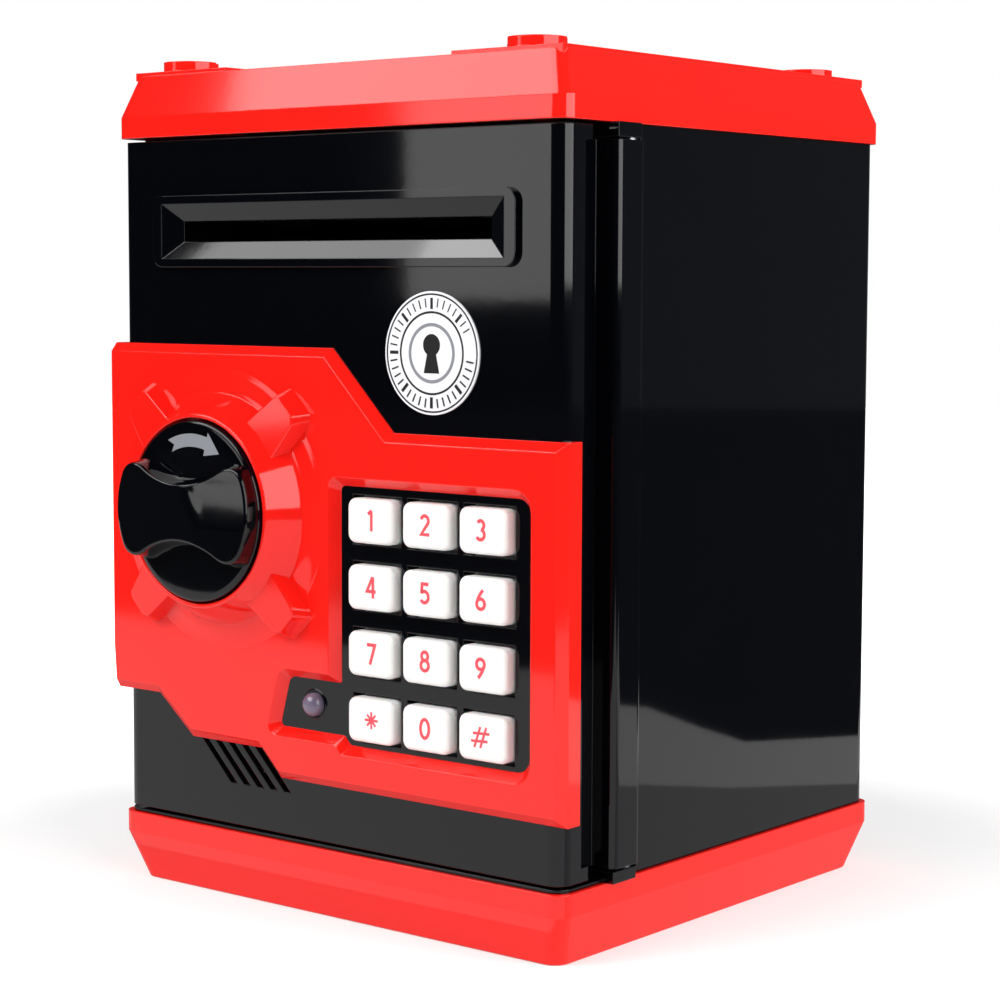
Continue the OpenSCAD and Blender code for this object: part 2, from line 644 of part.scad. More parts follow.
// outline of the red panel, clockwise from the top left
px = xb + panel_wrap;
pt = kz + 36.6;
pl = z_body + 29.2;
pb = z_body + 14.2;
pk = oz1 + 12.4;
ps = kx + 32.3;
pd = ps + (pt - pk);
pg = kx - 11.6;
pm = z_body + 20.2;
ph = kx - 22.5;
pe = kx + 10.5;
pf = pe + (pm - pb) + 0.2;
c = panel_bevel;
cl = panel_draft;
c1 = c * 0.414;
module slab_c(low, high) {
  hull() {
    slab_xz(low, yp + c, yf);
    slab_xz(high, yp, yp + c + e);
  }
}
module panel_body() {
  // above the lower left step
  slab_c([[-px, pt], [ps, pt], [pd, pk], [pd, pl], [-px, pl]],
    [[-px + cl, pt - c], [ps - c1, pt - c], [pd - c1, pk - c], [pd - c1, pl], [-px + cl, pl + c]]);
  // right of the slanted edge
  slab_c([[pd - 2, pk], [px, pk], [px, pb], [pd - 2, pb]],
    [[pd - 2, pk - c], [px - c, pk - c], [px - c, pb + c], [pd - 2, pb + c]]);
  // over the grille
  slab_c([[ph, pl + e], [pd, pl + e], [pd, pm], [pg, pm]],
    [[ph + c1 * 2, pl + e + c], [pd, pl + e + c], [pd, pm + c], [pg + c1, pm + c]]);
  // right of the grille
  slab_c([[pe, pm + e], [pd, pm + e], [pd, pb], [pf, pb]],
    [[pe + 2 * c1, pm + e + c], [pd, pm + e + c], [pd, pb + c], [pf + c1, pb + c]]);
}
module front_panel() color(RED) {
  difference() {
    union() {
      panel_body();
      // wraps over the door's sides
      box(xb + 0.1, px, yp + c, yf + 4, pb, pk);
      box(-px, -xb - 0.1, yp + c, yf + 4, pl, pt);
      // collar
      translate([kx, yp, kz]) rotate([90, 0, 0]) rotate_extrude()
        polygon([[0, -1], [collar_r + 4, -1], [collar_r + 4, 0], [collar_r + 1, 0.7], [collar_r - 0.4, 2],
          [knob_r + 1, collar_h], [0, collar_h]]);
      for (a = [45, 135, 225, 315]) translate([kx, yp + e, kz]) rotate([90, 0, 0]) rotate([0, 0, a])
        linear_extrude(lug_h) polygon([[20, -6.4], [lug_len - 2, -4.6], [lug_len, -3.4], [lug_len, 3.4],
          [lug_len - 2, 4.6], [20, 6.4]]);
      for (p = panel_pts) cyl_y(1.2, yf - 1, yf + door_wall + 0.6, p[0], p[1]);
    }
    // seat and bearing of the knob
    cyl_y(knob_r + 0.4, collar_top - 1, seat_y, kx, kz);
    cyl_y(hub_r + run_fit, collar_top, yf + 1, kx, kz);
    // keypad window with its flared rim
    hull() {
      slab_xz([[ox0, oz0], [ox1, oz0], [ox1, oz1], [ox0, oz1]], yp + 2, yf + 1);
      slab_xz([[ox0 - 2, oz0 - 2], [ox1 + 2, oz0 - 2], [ox1 + 2, oz1 + 2], [ox0 - 2, oz1 + 2]], yp - 1, yp + e);
    }
    hull() {
      slab_xz([[tab_x, tab_z0], [ox0 + 3, tab_z0], [ox0 + 3, tab_z1], [tab_x + 3.1, tab_z1]], yp + 2, yf + 1);
      slab_xz([[tab_x - 2, tab_z0 - 2], [ox0 + 3, tab_z0 - 2], [ox0 + 3, tab_z1 + 2], [tab_x + 1.1, tab_z1 + 2]],
        yp - 1, yp + e);
    }
    for (p = panel_pts) cyl_y(0.7, yf - 0.5, yf + door_wall + 5, p[0], p[1]);
  }
}
module panel_screws() color(STEEL) for (p = panel_pts)
  screw_y(p[0], p[1], yf + door_wall + 0.6, 0.7, 1.8, 1, 2.8);

module slot_bezel() color(BLACK) {
  difference() {
    union() {
      translate([0, yf, sz]) rotate([90, 0, 0]) linear_extrude(bezel_out) round_sq(bezel_w, bezel_h, 3);
      box(-plug_w / 2, plug_w / 2, yf - e, bezel_back, sz - plug_h / 2, sz + plug_h / 2);
    }
    hull() {
      box(-slot_w / 2, slot_w / 2, yf + 1, yf + 1.1, sz - slot_h / 2, sz + slot_h / 2);
      translate([0, yf - bezel_out + 0.01, sz]) rotate([90, 0, 0]) linear_extrude(1) square([slot_w + 10, 12.4], center = true);
    }
    box(-slot_w / 2, slot_w / 2, yf - 5, yf + 8, sz - slot_h / 2, sz + slot_h / 2);
  }
}

module key_spots() for (i = [0 : 2], j = [0 : 3]) translate([cols[i], 0, row0 + j * pitch_z]) children();
board_pts = [[board_x0 + 2.6, row0 - 3], [board_x0 + 2.6, row0 + 3 * pitch_z + 3],
  [board_x1 - 1.5, row0 + pitch_z / 2], [board_x1 - 1.5, row0 + pitch_z * 2.5]];
module keypad_plate() color(BLACK) {
  difference() {
    union() {
      box(dox0 + 0.15, dox1 - 0.15, yf, yf + plate_t + e, doz0 + 0.15, doz1 - 0.15);
      box(dox0 - 1.6, dox1 + 1.2, yf + plate_t, kp_back, doz0 - 1.6, doz1 + 1.6);
      for (j = [0 : 2]) box(cols[0] - 7, cols[2] + 7, kp_back - e, mat_y, row0 + (j + 0.5) * pitch_z - 0.5,
        row0 + (j + 0.5) * pitch_z + 0.5);
      for (p = board_pts) cyl_y(1.5, kp_back - e, mat_y, p[0], p[1]);
    }
    key_spots() translate([0, yf, 0]) cube([key_w + 2 * key_gap, 20, key_h + 2 * key_gap], center = true);
    cyl_y(led_d / 2 + 0.1, yf - 1, kp_back + 1, led_x, led_z);
    for (p = board_pts) cyl_y(0.8, yf + plate_t, mat_y + 1, p[0], p[1]);
    for (p = panel_pts) cyl_y(1.3, yf - 1, kp_back + 1, p[0], p[1]);
    for (p = panel_pts) cyl_y(2.1, yf + door_wall + 0.5, kp_back + 1, p[0], p[1]);
  }
}
module key_mat() color(GREY) {
  difference() {
    union() {
      box(board_x0, board_x1, mat_y, mat_y + mat_t, row0 - 7.5, row0 + 3 * pitch_z + 7.5);
    }
    for (p = board_pts) cyl_y(1, mat_y - 1, mat_y + mat_t + 1, p[0], p[1]);
  }
}
bd_y1 = mat_y + mat_t + board_t;
module keypad_board() color(GREEN) {
  difference() {
    union() {
      box(board_x0, board_x1, mat_y + mat_t, bd_y1, row0 - 7.5, row0 + 3 * pitch_z + 7.5);
      box(led_x - 4, board_x0 + e, mat_y + mat_t, bd_y1, led_z - 5, led_z + 5);
      box(cols[0] + 4, cols[0] + 16, bd_y1 - e, bd_y1 + 2, row0 + 10, row0 + 18);
    }
    for (p = board_pts) cyl_y(0.8, mat_y, bd_y1 + 1, p[0], p[1]);
  }
}
module board_screws() color(STEEL) for (p = board_pts) screw_y(p[0], p[1], bd_y1, 0.8, 1.5, 1, 5);
module led() color([0.5, 0.45, 0.6]) {
  cyl_y(led_d / 2, yf - 0.3, kp_back + 0.1, led_x, led_z);
  translate([led_x, yf - 0.3, led_z]) sphere(led_d / 2);
  cyl_y(led_d / 2 + 0.5, kp_back, kp_back + 1, led_x, led_z);
  for (i = [-1, 1]) cyl_y(0.3, kp_back + 0.9, mat_y + mat_t, led_x + i * 1.27, led_z);
}
module speaker() color(GREY) {
  cyl_y(speaker_d / 2, yf + door_wall, yf + door_wall + 3, sp_x, sp_z);
  cyl_y(speaker_d / 2 - 4, yf + door_wall + 3 - e, yf + door_wall + 5, sp_x, sp_z);
  cyl_y(speaker_d / 2 - 7, yf + door_wall + 5 - e, yf + door_wall + 8, sp_x, sp_z);
}
module speaker_screws() color(STEEL) for (a = sp_turns)
  screw_y(sp_x + (speaker_d / 2 + 2.6) * sin(a), sp_z + (speaker_d / 2 + 2.6) * cos(a),
    yf + door_wall + 3, 0.8, 3.4, 1, 3);

side_w = 1.2;
exit_z0 = path_z0 - 1;
exit_z1 = path_z1 + 1;
module door_back() color(BLACK) {
  w = back_wall;
  difference() {
    union() {
      box(-xr + 0.15, neck_x0 - 0.15, plate_y, yd, dz0 + rim + 0.15, dz1 - rim - 0.15);
      box(bx0, bx1, plate_y, by1, bz0, bz1);
      box(bx1 - w, kx1, plate_y, ky1, row0 - 11, row0 + 3 * pitch_z + 11);
    }
    box(bx0 + w, bx1 - w, plate_y - 1, by1 - w, bz0 + w, bz1 - w);
    box(bx1 - w - 1, kx1 - side_w, plate_y - 1, ky1 - w, row0 - 11 + w, row0 + 3 * pitch_z + 11 - w);
    cyl_y(shaft_r + run_fit, by1 - w - 1, by1 + 1, kx, kz);
    box(-slot_w / 2 - 0.5, slot_w / 2 - 1.0, by1 - w - 1, by1 + 1, exit_z0, exit_z1);
    for (p = back_pts) cyl_y(1.2, plate_y - 1, yd + 1, p[0], p[1]);
    loom_way(0.8);
  }
}
module back_screws() color(STEEL) for (p = back_pts) screw_y(p[0], p[1], yd, 0.9, 2, 1.2 - 0.75, 4.4);

// involute gears
function deg(x) = x * 180 / PI;
function inv(a) = deg(tan(a)) - a;
function flank(r, rp, h) = let (rb = rp * cos(20)) h + inv(20) - inv(acos(rb / max(r, rb)));
function pol(r, a) = [r * cos(a), r * sin(a)];
function gear_pts(n, ph) = let (rp = gear_m * n / 2, ra = rp + 0.75 * gear_m, rr = rp - 0.95 * gear_m,
    rb = rp * cos(20), h = 90 / n - deg(0.05 / rp),
    rs = [rr, max(rr, rb) + 0.01, rp * 0.985, rp, (rp + ra) / 2, ra])
  [for (i = [0 : n - 1]) each concat([for (k = [0 : 5]) pol(rs[k], ph + i * 360 / n - flank(rs[k], rp, h))],
    [for (k = [5 : -1 : 0]) pol(rs[k], ph + i * 360 / n + flank(rs[k], rp, h))])];
module gear_x(n, ph, x0, x1, y, z) {
  translate([x0, y, z]) rotate([90, 0, 90]) linear_extrude(x1 - x0) polygon(gear_pts(n, ph));
}

module feeder_lower() color(GREY) {
  y0 = bezel_back + 0.2;
  y1 = by1 - back_wall - 0.2;
  difference() {
    union() {
      box(left_x, bx1 - back_wall - 0.6, y0, y1, path_z0 - chute_t, path_z0);
      box(left_x, left_x + 2, fy - 7, fy + 7, rz - 6, path_z0 - chute_t + e);
      box(side_x0, side_x1, fy - 8, fy + 8, pz - 9, path_z0 - chute_t + e);
      // feet on the door's posts
      box(left_x, left_x + 2, yf + door_wall + 2, fy, rz - 12, rz - 4);
      box(left_x, left_x + 8, yf + door_wall + 2, yf + door_wall + 4, rz - 12, rz - 6);
      box(side_x0, side_x1, yf + door_wall + 2, fy, rz - 12, rz - 4);
      box(side_x0 - 7, side_x1, yf + door_wall + 2, yf + door_wall + 4, rz - 12, rz - 6);
    }
    cyl_x(2 + run_fit, left_x - 1, left_x + 3, fy, rz);
    cyl_x(2 + run_fit, side_x0 - 1, side_x1 + 1, fy, rz);
    cyl_x(1.5, side_x0 - 1, side_x1 + 1, fy, az);
    cyl_x(1.8, side_x0 - 1, side_x1 + 1, fy, pz);
    for (i = [-1, 1]) box(i * roll_x - roller_len / 2 - 1, i * roll_x + roller_len / 2 + 1,
      fy - roller_r - 0.5, fy + roller_r + 0.5, path_z0 - chute_t - 1, path_z0 + 1);
    for (p = feed_pts) cyl_y(0.9, yf, yd + 2, p[0], p[1]);
  }
}
module feeder_upper() color(GREY) {
  y0 = bezel_back + 0.2;
  difference() {
    union() {
      box(left_x, bx1 - back_wall - 0.6, y0, by1 - back_wall - 0.2, path_z1, path_z1 + chute_t);
      for (i = [-1, 1]) box(i * (roll_x + 13) - 1, i * (roll_x + 13) + 1, fy - 5, fy + 5, path_z1 + chute_t - e, iz + 3.2);
      for (i = [2, 3]) {
        box(feed_pts[i][0] - 4, feed_pts[i][0] + 4, yf + door_wall + 2, yf + door_wall + 4, sz + 6.6, sz + 12.3);
        box(feed_pts[i][0] - 4, feed_pts[i][0] + 4, yf + door_wall + 4 - e, yf + door_wall + 5.2, path_z1 + e, sz + 12.3);
      }
    }
    for (i = [-1, 1]) cyl_x(1.5 + run_fit, i * (roll_x + 13) - 2, i * (roll_x + 13) + 2, fy, iz);
    for (i = [-1, 1]) box(i * roll_x - roller_len / 2 - 1, i * roll_x + roller_len / 2 + 1,
      fy - idler_r - 0.5, fy + idler_r + 0.5, path_z1 - 1, path_z1 + chute_t + 1);
    for (p = feed_pts) cyl_y(0.9, yf, yd + 2, p[0], p[1]);
  }
}
module feeder_screws() color(STEEL) for (i = [0 : 3])
  screw_y(feed_pts[i][0], feed_pts[i][1], yf + door_wall + (i < 2 ? 4 : 5.2), 0.9, 2, 1, 4.5);
module feed_motor() color(STEEL) {
  cyl_x(mr, side_x0 - motor_len, side_x0, fy, pz);
  cyl_x(2.4, side_x0 - motor_len - 1.4, side_x0 - motor_len + e, fy, pz);
  cyl_x(1.8, side_x0 - e, side_x1 - 0.2, fy, pz);
}
module gear_axle() color(STEEL) cyl_x(1.5, side_x0 - 1, g2 + gw + 0.8, fy, az);
module drive_shaft() color(STEEL) cyl_x(2, left_x - 0.6, g1 + gw, fy, rz);
module drive_rollers() color(BLACK) for (i = [-1, 1]) difference() {
  cyl_x(roller_r, i * roll_x - roller_len / 2, i * roll_x + roller_len / 2, fy, rz);
  cyl_x(2, i * roll_x - roller_len, i * roll_x + roller_len, fy, rz);
}
module roller_gear() color(WHITE) difference() {
  gear_x(N_R, 270 + 180 / N_R, g1, g1 + gw, fy, rz);
  cyl_x(2, g1 - 1, g1 + gw + 1, fy, rz);
}
module reduction_gear() color(WHITE) difference() {
  union() {
    gear_x(N_A, 90, g1, g1 + gw + e, fy, az);
    cyl_x(4, g1 + gw - e, g2 + e, fy, az);
    gear_x(N_B, 90, g2, g2 + gw, fy, az);
  }
  cyl_x(1.5 + run_fit, g1 - 1, g2 + gw + 1, fy, az);
}
module motor_pinion() color(WHITE) {
  gear_x(N_P, 90 + 180 / N_P, g2, g2 + gw, fy, pz);
  cyl_x(1, side_x1 + 0.1, g2 + e, fy, pz);
}
module idler_shaft() color(STEEL) cyl_x(1.5, -roll_x - 15, roll_x + 15, fy, iz);
module idler_rollers() color(WHITE) for (i = [-1, 1]) difference() {
  cyl_x(idler_r, i * roll_x - roller_len / 2, i * roll_x + roller_len / 2, fy, iz);
  cyl_x(1.5, i * roll_x - roller_len, i * roll_x + roller_len, fy, iz);
}

module solenoid() color(GREY) difference() {
  box(kx - 8, kx + 8, yf + door_wall, sol_y + 7.5, kz - 38, kz - 17);
  cyl_z(plunger_r + run_fit, kx, sol_y, kz - 32, kz);
}
module plunger() color(STEEL) {
  cyl_z(plunger_r, kx, sol_y, kz - 27, plunger_top);
}
module badge() color([0.7, 0.7, 0.72]) cyl_y(13, yf - 0.5, yf, cols[1] + 0.1, z_body + 109.7);

module knob() color(BLACK) {
  difference() {
    union() {
      cyl_y(knob_r, disc_front, disc_back, kx, kz);
      intersection() {
        cyl_y(knob_r - 1.5, disc_front - grip_h, disc_front + e, kx, kz);
        box(kx - 30, kx + 30, disc_front - grip_h - 1, disc_front + 1, kz - 20, kz + 20);
      }
      cyl_y(hub_r, disc_back - e, yf + door_wall + 1.8, kx, kz);
      cyl_y(shaft_r, yf + door_wall + 1.7, by1 + 0.4, kx, kz);
    }
    for (j = [-1, 1]) cyl_y(scoop_r, disc_front - grip_h - 1, disc_front, kx, kz + j * scoop_off);
    cyl_y(1.2, by1 - 8, by1 + 1, kx, kz);
  }
}
module lock_disc() color(GREY) difference() {
  cyl_y(lock_r, disc_y0, disc_y0 + 3, kx, kz);
  cyl_y(shaft_r, disc_y0 - 1, disc_y0 + 4, kx, kz);
  box(kx - 3.2, kx + 3.2, disc_y0 - 1, disc_y0 + 4, kz - lock_r - 1, kz - lock_r + 3.6);
  box(kx - lock_r - 1, kx - lock_r + 3.6, disc_y0 - 1, disc_y0 + 4, kz - 3.2, kz + 3.2);
}
module latch_cam() color(BLACK) difference() {
  union() {
    cyl_y(6, by1 + 0.4, by1 + 2.8, kx, kz);
    box(kx - 4, kx + 4, by1 + 0.4, by1 + 2.8, kz, kz + arm_len - 4);
    cyl_y(4, by1 + 0.4, by1 + 2.8, kx, kz + arm_len - 4);
  }
  cyl_y(1.2, by1, by1 + 4, kx, kz);
}
module cam_screw() color(STEEL) difference() {
  screw_y(kx, kz, by1 + 2.8, 1.2, 3, 1.8, 9);
  box(kx - 2.4, kx + 2.4, by1 + 3.8, by1 + 6, kz - 0.4, kz + 0.4);
}

module key(i, j) color(WHITE) translate([cols[i], 0, row0 + j * pitch_z]) {
  translate([0, kf + e, 0]) rotate([90, 0, 0]) linear_extrude(kf + e - (yf - key_out) - 1.2) round_sq(key_w, key_h, 1.6);
  translate([0, yf - key_out + 1.3, 0]) rotate([90, 0, 0]) linear_extrude(1.3) round_sq(key_w - 1.2, key_h - 1.2, 1.2);
  box(-(key_w + 2) / 2, (key_w + 2) / 2, kf, kf + kf_t, -(key_h + 2) / 2, (key_h + 2) / 2);
  cyl_y(2.4, kf + kf_t - e, kf + kf_t + stem, 0, 0);
}

base_tray();
body_shell();
top_cover();
door_frame();
battery_box();
battery_door();
battery_door_screw();
battery_cells();
battery_contacts();
base_screws();
cover_screws();
hinge_pin_upper();
hinge_pin_lower();
loom_base();
door_shell();
front_panel();
slot_bezel();
keypad_plate();
key_mat();
keypad_board();
board_screws();
led();
speaker();
speaker_screws();
door_back();
back_screws();
panel_screws();
feeder_lower();
feeder_upper();
feeder_screws();
feed_motor();
gear_axle();
solenoid();
loom_door();
badge();
knob();
lock_disc();
latch_cam();
cam_screw();
plunger();
drive_shaft();
drive_rollers();
roller_gear();
reduction_gear();
motor_pinion();
idler_shaft();
idler_rollers();
key(0, 3);  // key_1
key(1, 3);  // key_2
key(2, 3);  // key_3
key(0, 2);  // key_4
key(1, 2);  // key_5
key(2, 2);  // key_6
key(0, 1);  // key_7
key(1, 1);  // key_8
key(2, 1);  // key_9
key(0, 0);  // key_star
key(1, 0);  // key_0
key(2, 0);  // key_hash
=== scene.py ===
import bpy
import bmesh
import json
import math
from mathutils import Matrix, Vector


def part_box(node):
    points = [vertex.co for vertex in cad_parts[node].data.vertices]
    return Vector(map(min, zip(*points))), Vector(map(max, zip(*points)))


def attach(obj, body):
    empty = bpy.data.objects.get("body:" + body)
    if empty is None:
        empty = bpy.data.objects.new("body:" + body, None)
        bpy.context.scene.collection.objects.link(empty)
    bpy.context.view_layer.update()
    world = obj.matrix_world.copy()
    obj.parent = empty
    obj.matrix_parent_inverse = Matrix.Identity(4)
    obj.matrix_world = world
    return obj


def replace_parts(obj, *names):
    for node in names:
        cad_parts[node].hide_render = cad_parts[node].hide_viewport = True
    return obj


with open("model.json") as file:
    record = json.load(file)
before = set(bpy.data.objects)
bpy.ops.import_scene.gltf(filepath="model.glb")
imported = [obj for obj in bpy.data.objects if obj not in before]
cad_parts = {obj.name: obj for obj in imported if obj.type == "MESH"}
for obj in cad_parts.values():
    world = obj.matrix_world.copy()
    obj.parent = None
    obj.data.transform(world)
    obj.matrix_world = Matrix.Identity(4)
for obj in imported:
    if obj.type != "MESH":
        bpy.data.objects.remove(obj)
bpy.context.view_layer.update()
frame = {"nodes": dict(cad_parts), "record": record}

MM = 0.001                     # the shapes below are in millimetres


def low(node, axis):
    """a node's lowest coordinate, in mm"""
    return round(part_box(node)[0][axis] / MM, 3)


def high(node, axis):
    """a node's highest coordinate, in mm"""
    return round(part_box(node)[1][axis] / MM, 3)


def width(node, axis):
    """how far a node reaches along an axis, in mm"""
    return round(high(node, axis) - low(node, axis), 3)


def middle(node, axis):
    """the middle of a node's box, in mm"""
    lo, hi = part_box(node)
    return (lo[axis] + hi[axis]) / 2 / MM


def placed(node, axis):
    """the middle of a node's box, to the nearest 0.001 mm"""
    return round(middle(node, axis), 3)


DOOR_FRONT = low("door_shell", 1)
PANEL_FRONT = DOOR_FRONT - 2.3
KNOB_X, KNOB_Z = placed("knob", 0), placed("knob", 2)


def polar(r, degrees):
    """point at radius r, degrees round from the first axis"""
    a = math.radians(degrees)
    return r * math.cos(a), r * math.sin(a)


# ---------- materials ----------
def ramp(tree, fac, lo, hi):
    """spreads a value from 0..1 over lo..hi"""
    node = tree.nodes.new("ShaderNodeMapRange")
    node.inputs["To Min"].default_value = lo
    node.inputs["To Max"].default_value = hi
    tree.links.new(fac, node.inputs["Value"])
    return node.outputs["Result"]


def set_range(node, from_min, from_max, to_min, to_max):
    node.inputs["From Min"].default_value = from_min
    node.inputs["From Max"].default_value = from_max
    node.inputs["To Min"].default_value = to_min
    node.inputs["To Max"].default_value = to_max


def noise(tree, coords, scale, detail):
    """a noise value that stays with the object"""
    texture = tree.nodes.new("ShaderNodeTexNoise")
    texture.inputs["Scale"].default_value = scale
    texture.inputs["Detail"].default_value = detail
    tree.links.new(coords.outputs["Object"], texture.inputs["Vector"])
    return texture.outputs["Fac"]


def plastic(name, col, col2=None, rough=(0.16, 0.24), grain=700, bump=0.04, edge=0.35, mottle=30,
            spec=0.5, metal=0.0, coat=0.0, edge_highlight=None, sss=0.0, fine=0.00008):
    """moulded surface: mottled colour and roughness, fine grain, soft edges and a painted highlight that
    lightens the edges
    """
    m = bpy.data.materials.new(name)
    m.use_nodes = True
    tree = m.node_tree
    tree.nodes.clear()
    out = tree.nodes.new("ShaderNodeOutputMaterial")
    shader = tree.nodes.new("ShaderNodeBsdfPrincipled")
    tree.links.new(shader.outputs[0], out.inputs[0])
    coords = tree.nodes.new("ShaderNodeTexCoord")
    mix = tree.nodes.new("ShaderNodeMix")
    mix.data_type = "RGBA"
    mix.inputs["A"].default_value = (*col, 1)
    mix.inputs["B"].default_value = (*(col2 or [c * 0.86 for c in col]), 1)
    tree.links.new(ramp(tree, noise(tree, coords, mottle, 4), 0.1, 0.9), mix.inputs["Factor"])
    base = mix.outputs["Result"]
    soft = None
    if edge:
        soft = tree.nodes.new("ShaderNodeBevel")
        soft.samples = 6
        soft.inputs["Radius"].default_value = edge * MM
    # painted highlight: where the rounded normal turns away from the face's own normal, the colour is mixed
    # towards a lighter one
    if edge_highlight and soft:
        geo = tree.nodes.new("ShaderNodeNewGeometry")
        dot = tree.nodes.new("ShaderNodeVectorMath")
        dot.operation = "DOT_PRODUCT"
        tree.links.new(soft.outputs[0], dot.inputs[0])
        tree.links.new(geo.outputs["Normal"], dot.inputs[1])
        highlight_mask = tree.nodes.new("ShaderNodeMapRange")
        set_range(highlight_mask, 0.97, 0.75, 0.0, 0.35)
        tree.links.new(dot.outputs["Value"], highlight_mask.inputs["Value"])
        highlit = tree.nodes.new("ShaderNodeMix")
        highlit.data_type = "RGBA"
        tree.links.new(base, highlit.inputs["A"])
        highlit.inputs["B"].default_value = (*edge_highlight, 1)
        tree.links.new(highlight_mask.outputs["Result"], highlit.inputs["Factor"])
        base = highlit.outputs["Result"]
    tree.links.new(base, shader.inputs["Base Color"])
    tree.links.new(ramp(tree, noise(tree, coords, mottle * 3, 5), *rough), shader.inputs["Roughness"])
    grain_bump = tree.nodes.new("ShaderNodeBump")
    grain_bump.inputs["Strength"].default_value = bump
    grain_bump.inputs["Distance"].default_value = fine
    tree.links.new(noise(tree, coords, grain, 3), grain_bump.inputs["Height"])
    if soft:
        tree.links.new(soft.outputs[0], grain_bump.inputs["Normal"])
    tree.links.new(grain_bump.outputs[0], shader.inputs["Normal"])
    shader.inputs["Specular IOR Level"].default_value = spec
    shader.inputs["Metallic"].default_value = metal
    shader.inputs["Coat Weight"].default_value = coat
    shader.inputs["Coat Roughness"].default_value = 0.08
    if sss:
        shader.inputs["Subsurface Weight"].default_value = sss
        shader.inputs["Subsurface Scale"].default_value = 0.002
    return m


# the last colour given to RED and BLACK is the lighter colour of their painted edge highlight
RED = plastic("red_abs", (0.90, 0.0125, 0.0076), (0.86, 0.0108, 0.0066), rough=(0.05, 0.09), grain=420,
              bump=0.03, spec=0.62, edge_highlight=(1.0, 0.10, 0.08))
BLACK = plastic("black_abs", (0.0008, 0.0010, 0.0018), (0.0014, 0.0016, 0.0026), rough=(0.03, 0.06),
                grain=380, bump=0.02, edge_highlight=(0.02, 0.02, 0.024))
SATIN = plastic("black_satin", (0.010, 0.010, 0.011), (0.016, 0.016, 0.017), rough=(0.3, 0.42),
                grain=2200, bump=0.2)
WHITE = plastic("key_white", (0.83, 0.825, 0.81), (0.81, 0.803, 0.785), rough=(0.24, 0.34), grain=900,
                bump=0.05, edge=0.0, sss=0.15)
INK = plastic("ink_pink", (0.80, 0.075, 0.10), (0.72, 0.06, 0.085), rough=(0.4, 0.5), grain=2500,
              bump=0.1, edge=0.0)
GREY = plastic("inner_grey", (0.10, 0.10, 0.105), rough=(0.35, 0.5), grain=1800, bump=0.25)
ACETAL = plastic("acetal", (0.62, 0.61, 0.56), rough=(0.3, 0.42), grain=900, bump=0.08, sss=0.1)
STEEL = plastic("zinc_steel", (0.55, 0.56, 0.58), (0.42, 0.43, 0.46), rough=(0.2, 0.38), metal=1.0,
                grain=1600, bump=0.12, mottle=300)
RUBBER = plastic("rubber", (0.004, 0.004, 0.004), rough=(0.6, 0.8), grain=2600, bump=0.4, spec=0.06)
SILICONE = plastic("silicone", (0.22, 0.22, 0.24), rough=(0.5, 0.65), grain=1500, bump=0.2)
BOARD = plastic("board", (0.012, 0.09, 0.03), (0.018, 0.12, 0.045), rough=(0.25, 0.4), mottle=180,
                grain=900, bump=0.1)
CELL = plastic("cell_sleeve", (0.04, 0.09, 0.22), (0.05, 0.11, 0.26), rough=(0.15, 0.25), metal=0.4)
WIRE = plastic("wire_red", (0.30, 0.012, 0.010), rough=(0.35, 0.5), edge=0.0)
CONE = plastic("speaker_cone", (0.02, 0.02, 0.022), rough=(0.6, 0.8), grain=2600, bump=0.5)
LENS = plastic("lamp_lens", (0.17, 0.145, 0.21), (0.13, 0.11, 0.17), rough=(0.05, 0.1), edge=0.0,
               coat=0.6, mottle=160, sss=0.3)
SILVER = plastic("silver_print", (0.25, 0.26, 0.285), (0.20, 0.21, 0.235), rough=(0.28, 0.4), edge=0.0,
                 grain=2400, bump=0.1, mottle=220)
PRINT_WHITE = plastic("white_print", (0.80, 0.80, 0.82), (0.74, 0.74, 0.77), rough=(0.3, 0.42),
                      edge=0.0, grain=2400, bump=0.1)
PRINT_BLACK = plastic("black_print", (0.006, 0.006, 0.007), (0.012, 0.012, 0.013), rough=(0.35, 0.5),
                      edge=0.0, grain=2400, bump=0.1)

SLOT_MAT = {"red_plastic": RED, "black_plastic": BLACK, "grey_plastic": GREY, "white_plastic": WHITE,
            "gear_plastic": ACETAL, "steel": STEEL, "rubber": RUBBER, "mat_rubber": SILICONE, "board": BOARD,
            "lamp": LENS, "badge_silver": SILVER, "cell": CELL, "wire": WIRE, "cone": CONE}
# the idler rollers take the dark rubber as painted shade, standing in for the shade inside the slot
NODE_MAT = {"door_back": SATIN, "door_frame": SATIN, "idler_rollers": RUBBER}
slot_of = {s["node"]: s["material_slot"] for s in frame["record"]["subparts"]}
for n, o in frame["nodes"].items():
    m = NODE_MAT.get(n, SLOT_MAT[slot_of[n]])
    if not o.material_slots:
        o.data.materials.append(m)
    for s in o.material_slots:
        s.material = m


# ---------- mesh helpers, all in mm ----------
def make(name, verts, faces, mat, body, smooth=True, angle=35):
    """an object from points and faces that rides on a body; edges over angle degrees stay sharp"""
    me = bpy.data.meshes.new(name)
    me.from_pydata([(v[0] * MM, v[1] * MM, v[2] * MM) for v in verts], [], faces)
    bm = bmesh.new()
    bm.from_mesh(me)
    bmesh.ops.remove_doubles(bm, verts=bm.verts, dist=1e-7)
    bmesh.ops.recalc_face_normals(bm, faces=bm.faces)
    if smooth:
        for f in bm.faces:
            f.smooth = True
        for e in bm.edges:
            if len(e.link_faces) == 2 and e.calc_face_angle(0) > math.radians(angle):
                e.smooth = False
    bm.to_mesh(me)
    bm.free()
    o = bpy.data.objects.new(name, me)
    bpy.context.collection.objects.link(o)
    me.materials.append(mat)
    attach(o, body)
    return o


def bevel(o, w, seg=3, ang=25):
    """rounds the edges that turn by more than ang degrees, w mm wide"""
    b = o.modifiers.new("edge", "BEVEL")
    b.width = w * MM
    b.segments = seg
    b.limit_method = "ANGLE"
    b.angle_limit = math.radians(ang)
    b.harden_normals = False
    b.miter_outer = "MITER_SHARP"
    o.modifiers.new("wn", "WEIGHTED_NORMAL").keep_sharp = False
    for p in o.data.polygons:
        p.use_smooth = True
    for e in o.data.edges:
        e.use_edge_sharp = False
    return o


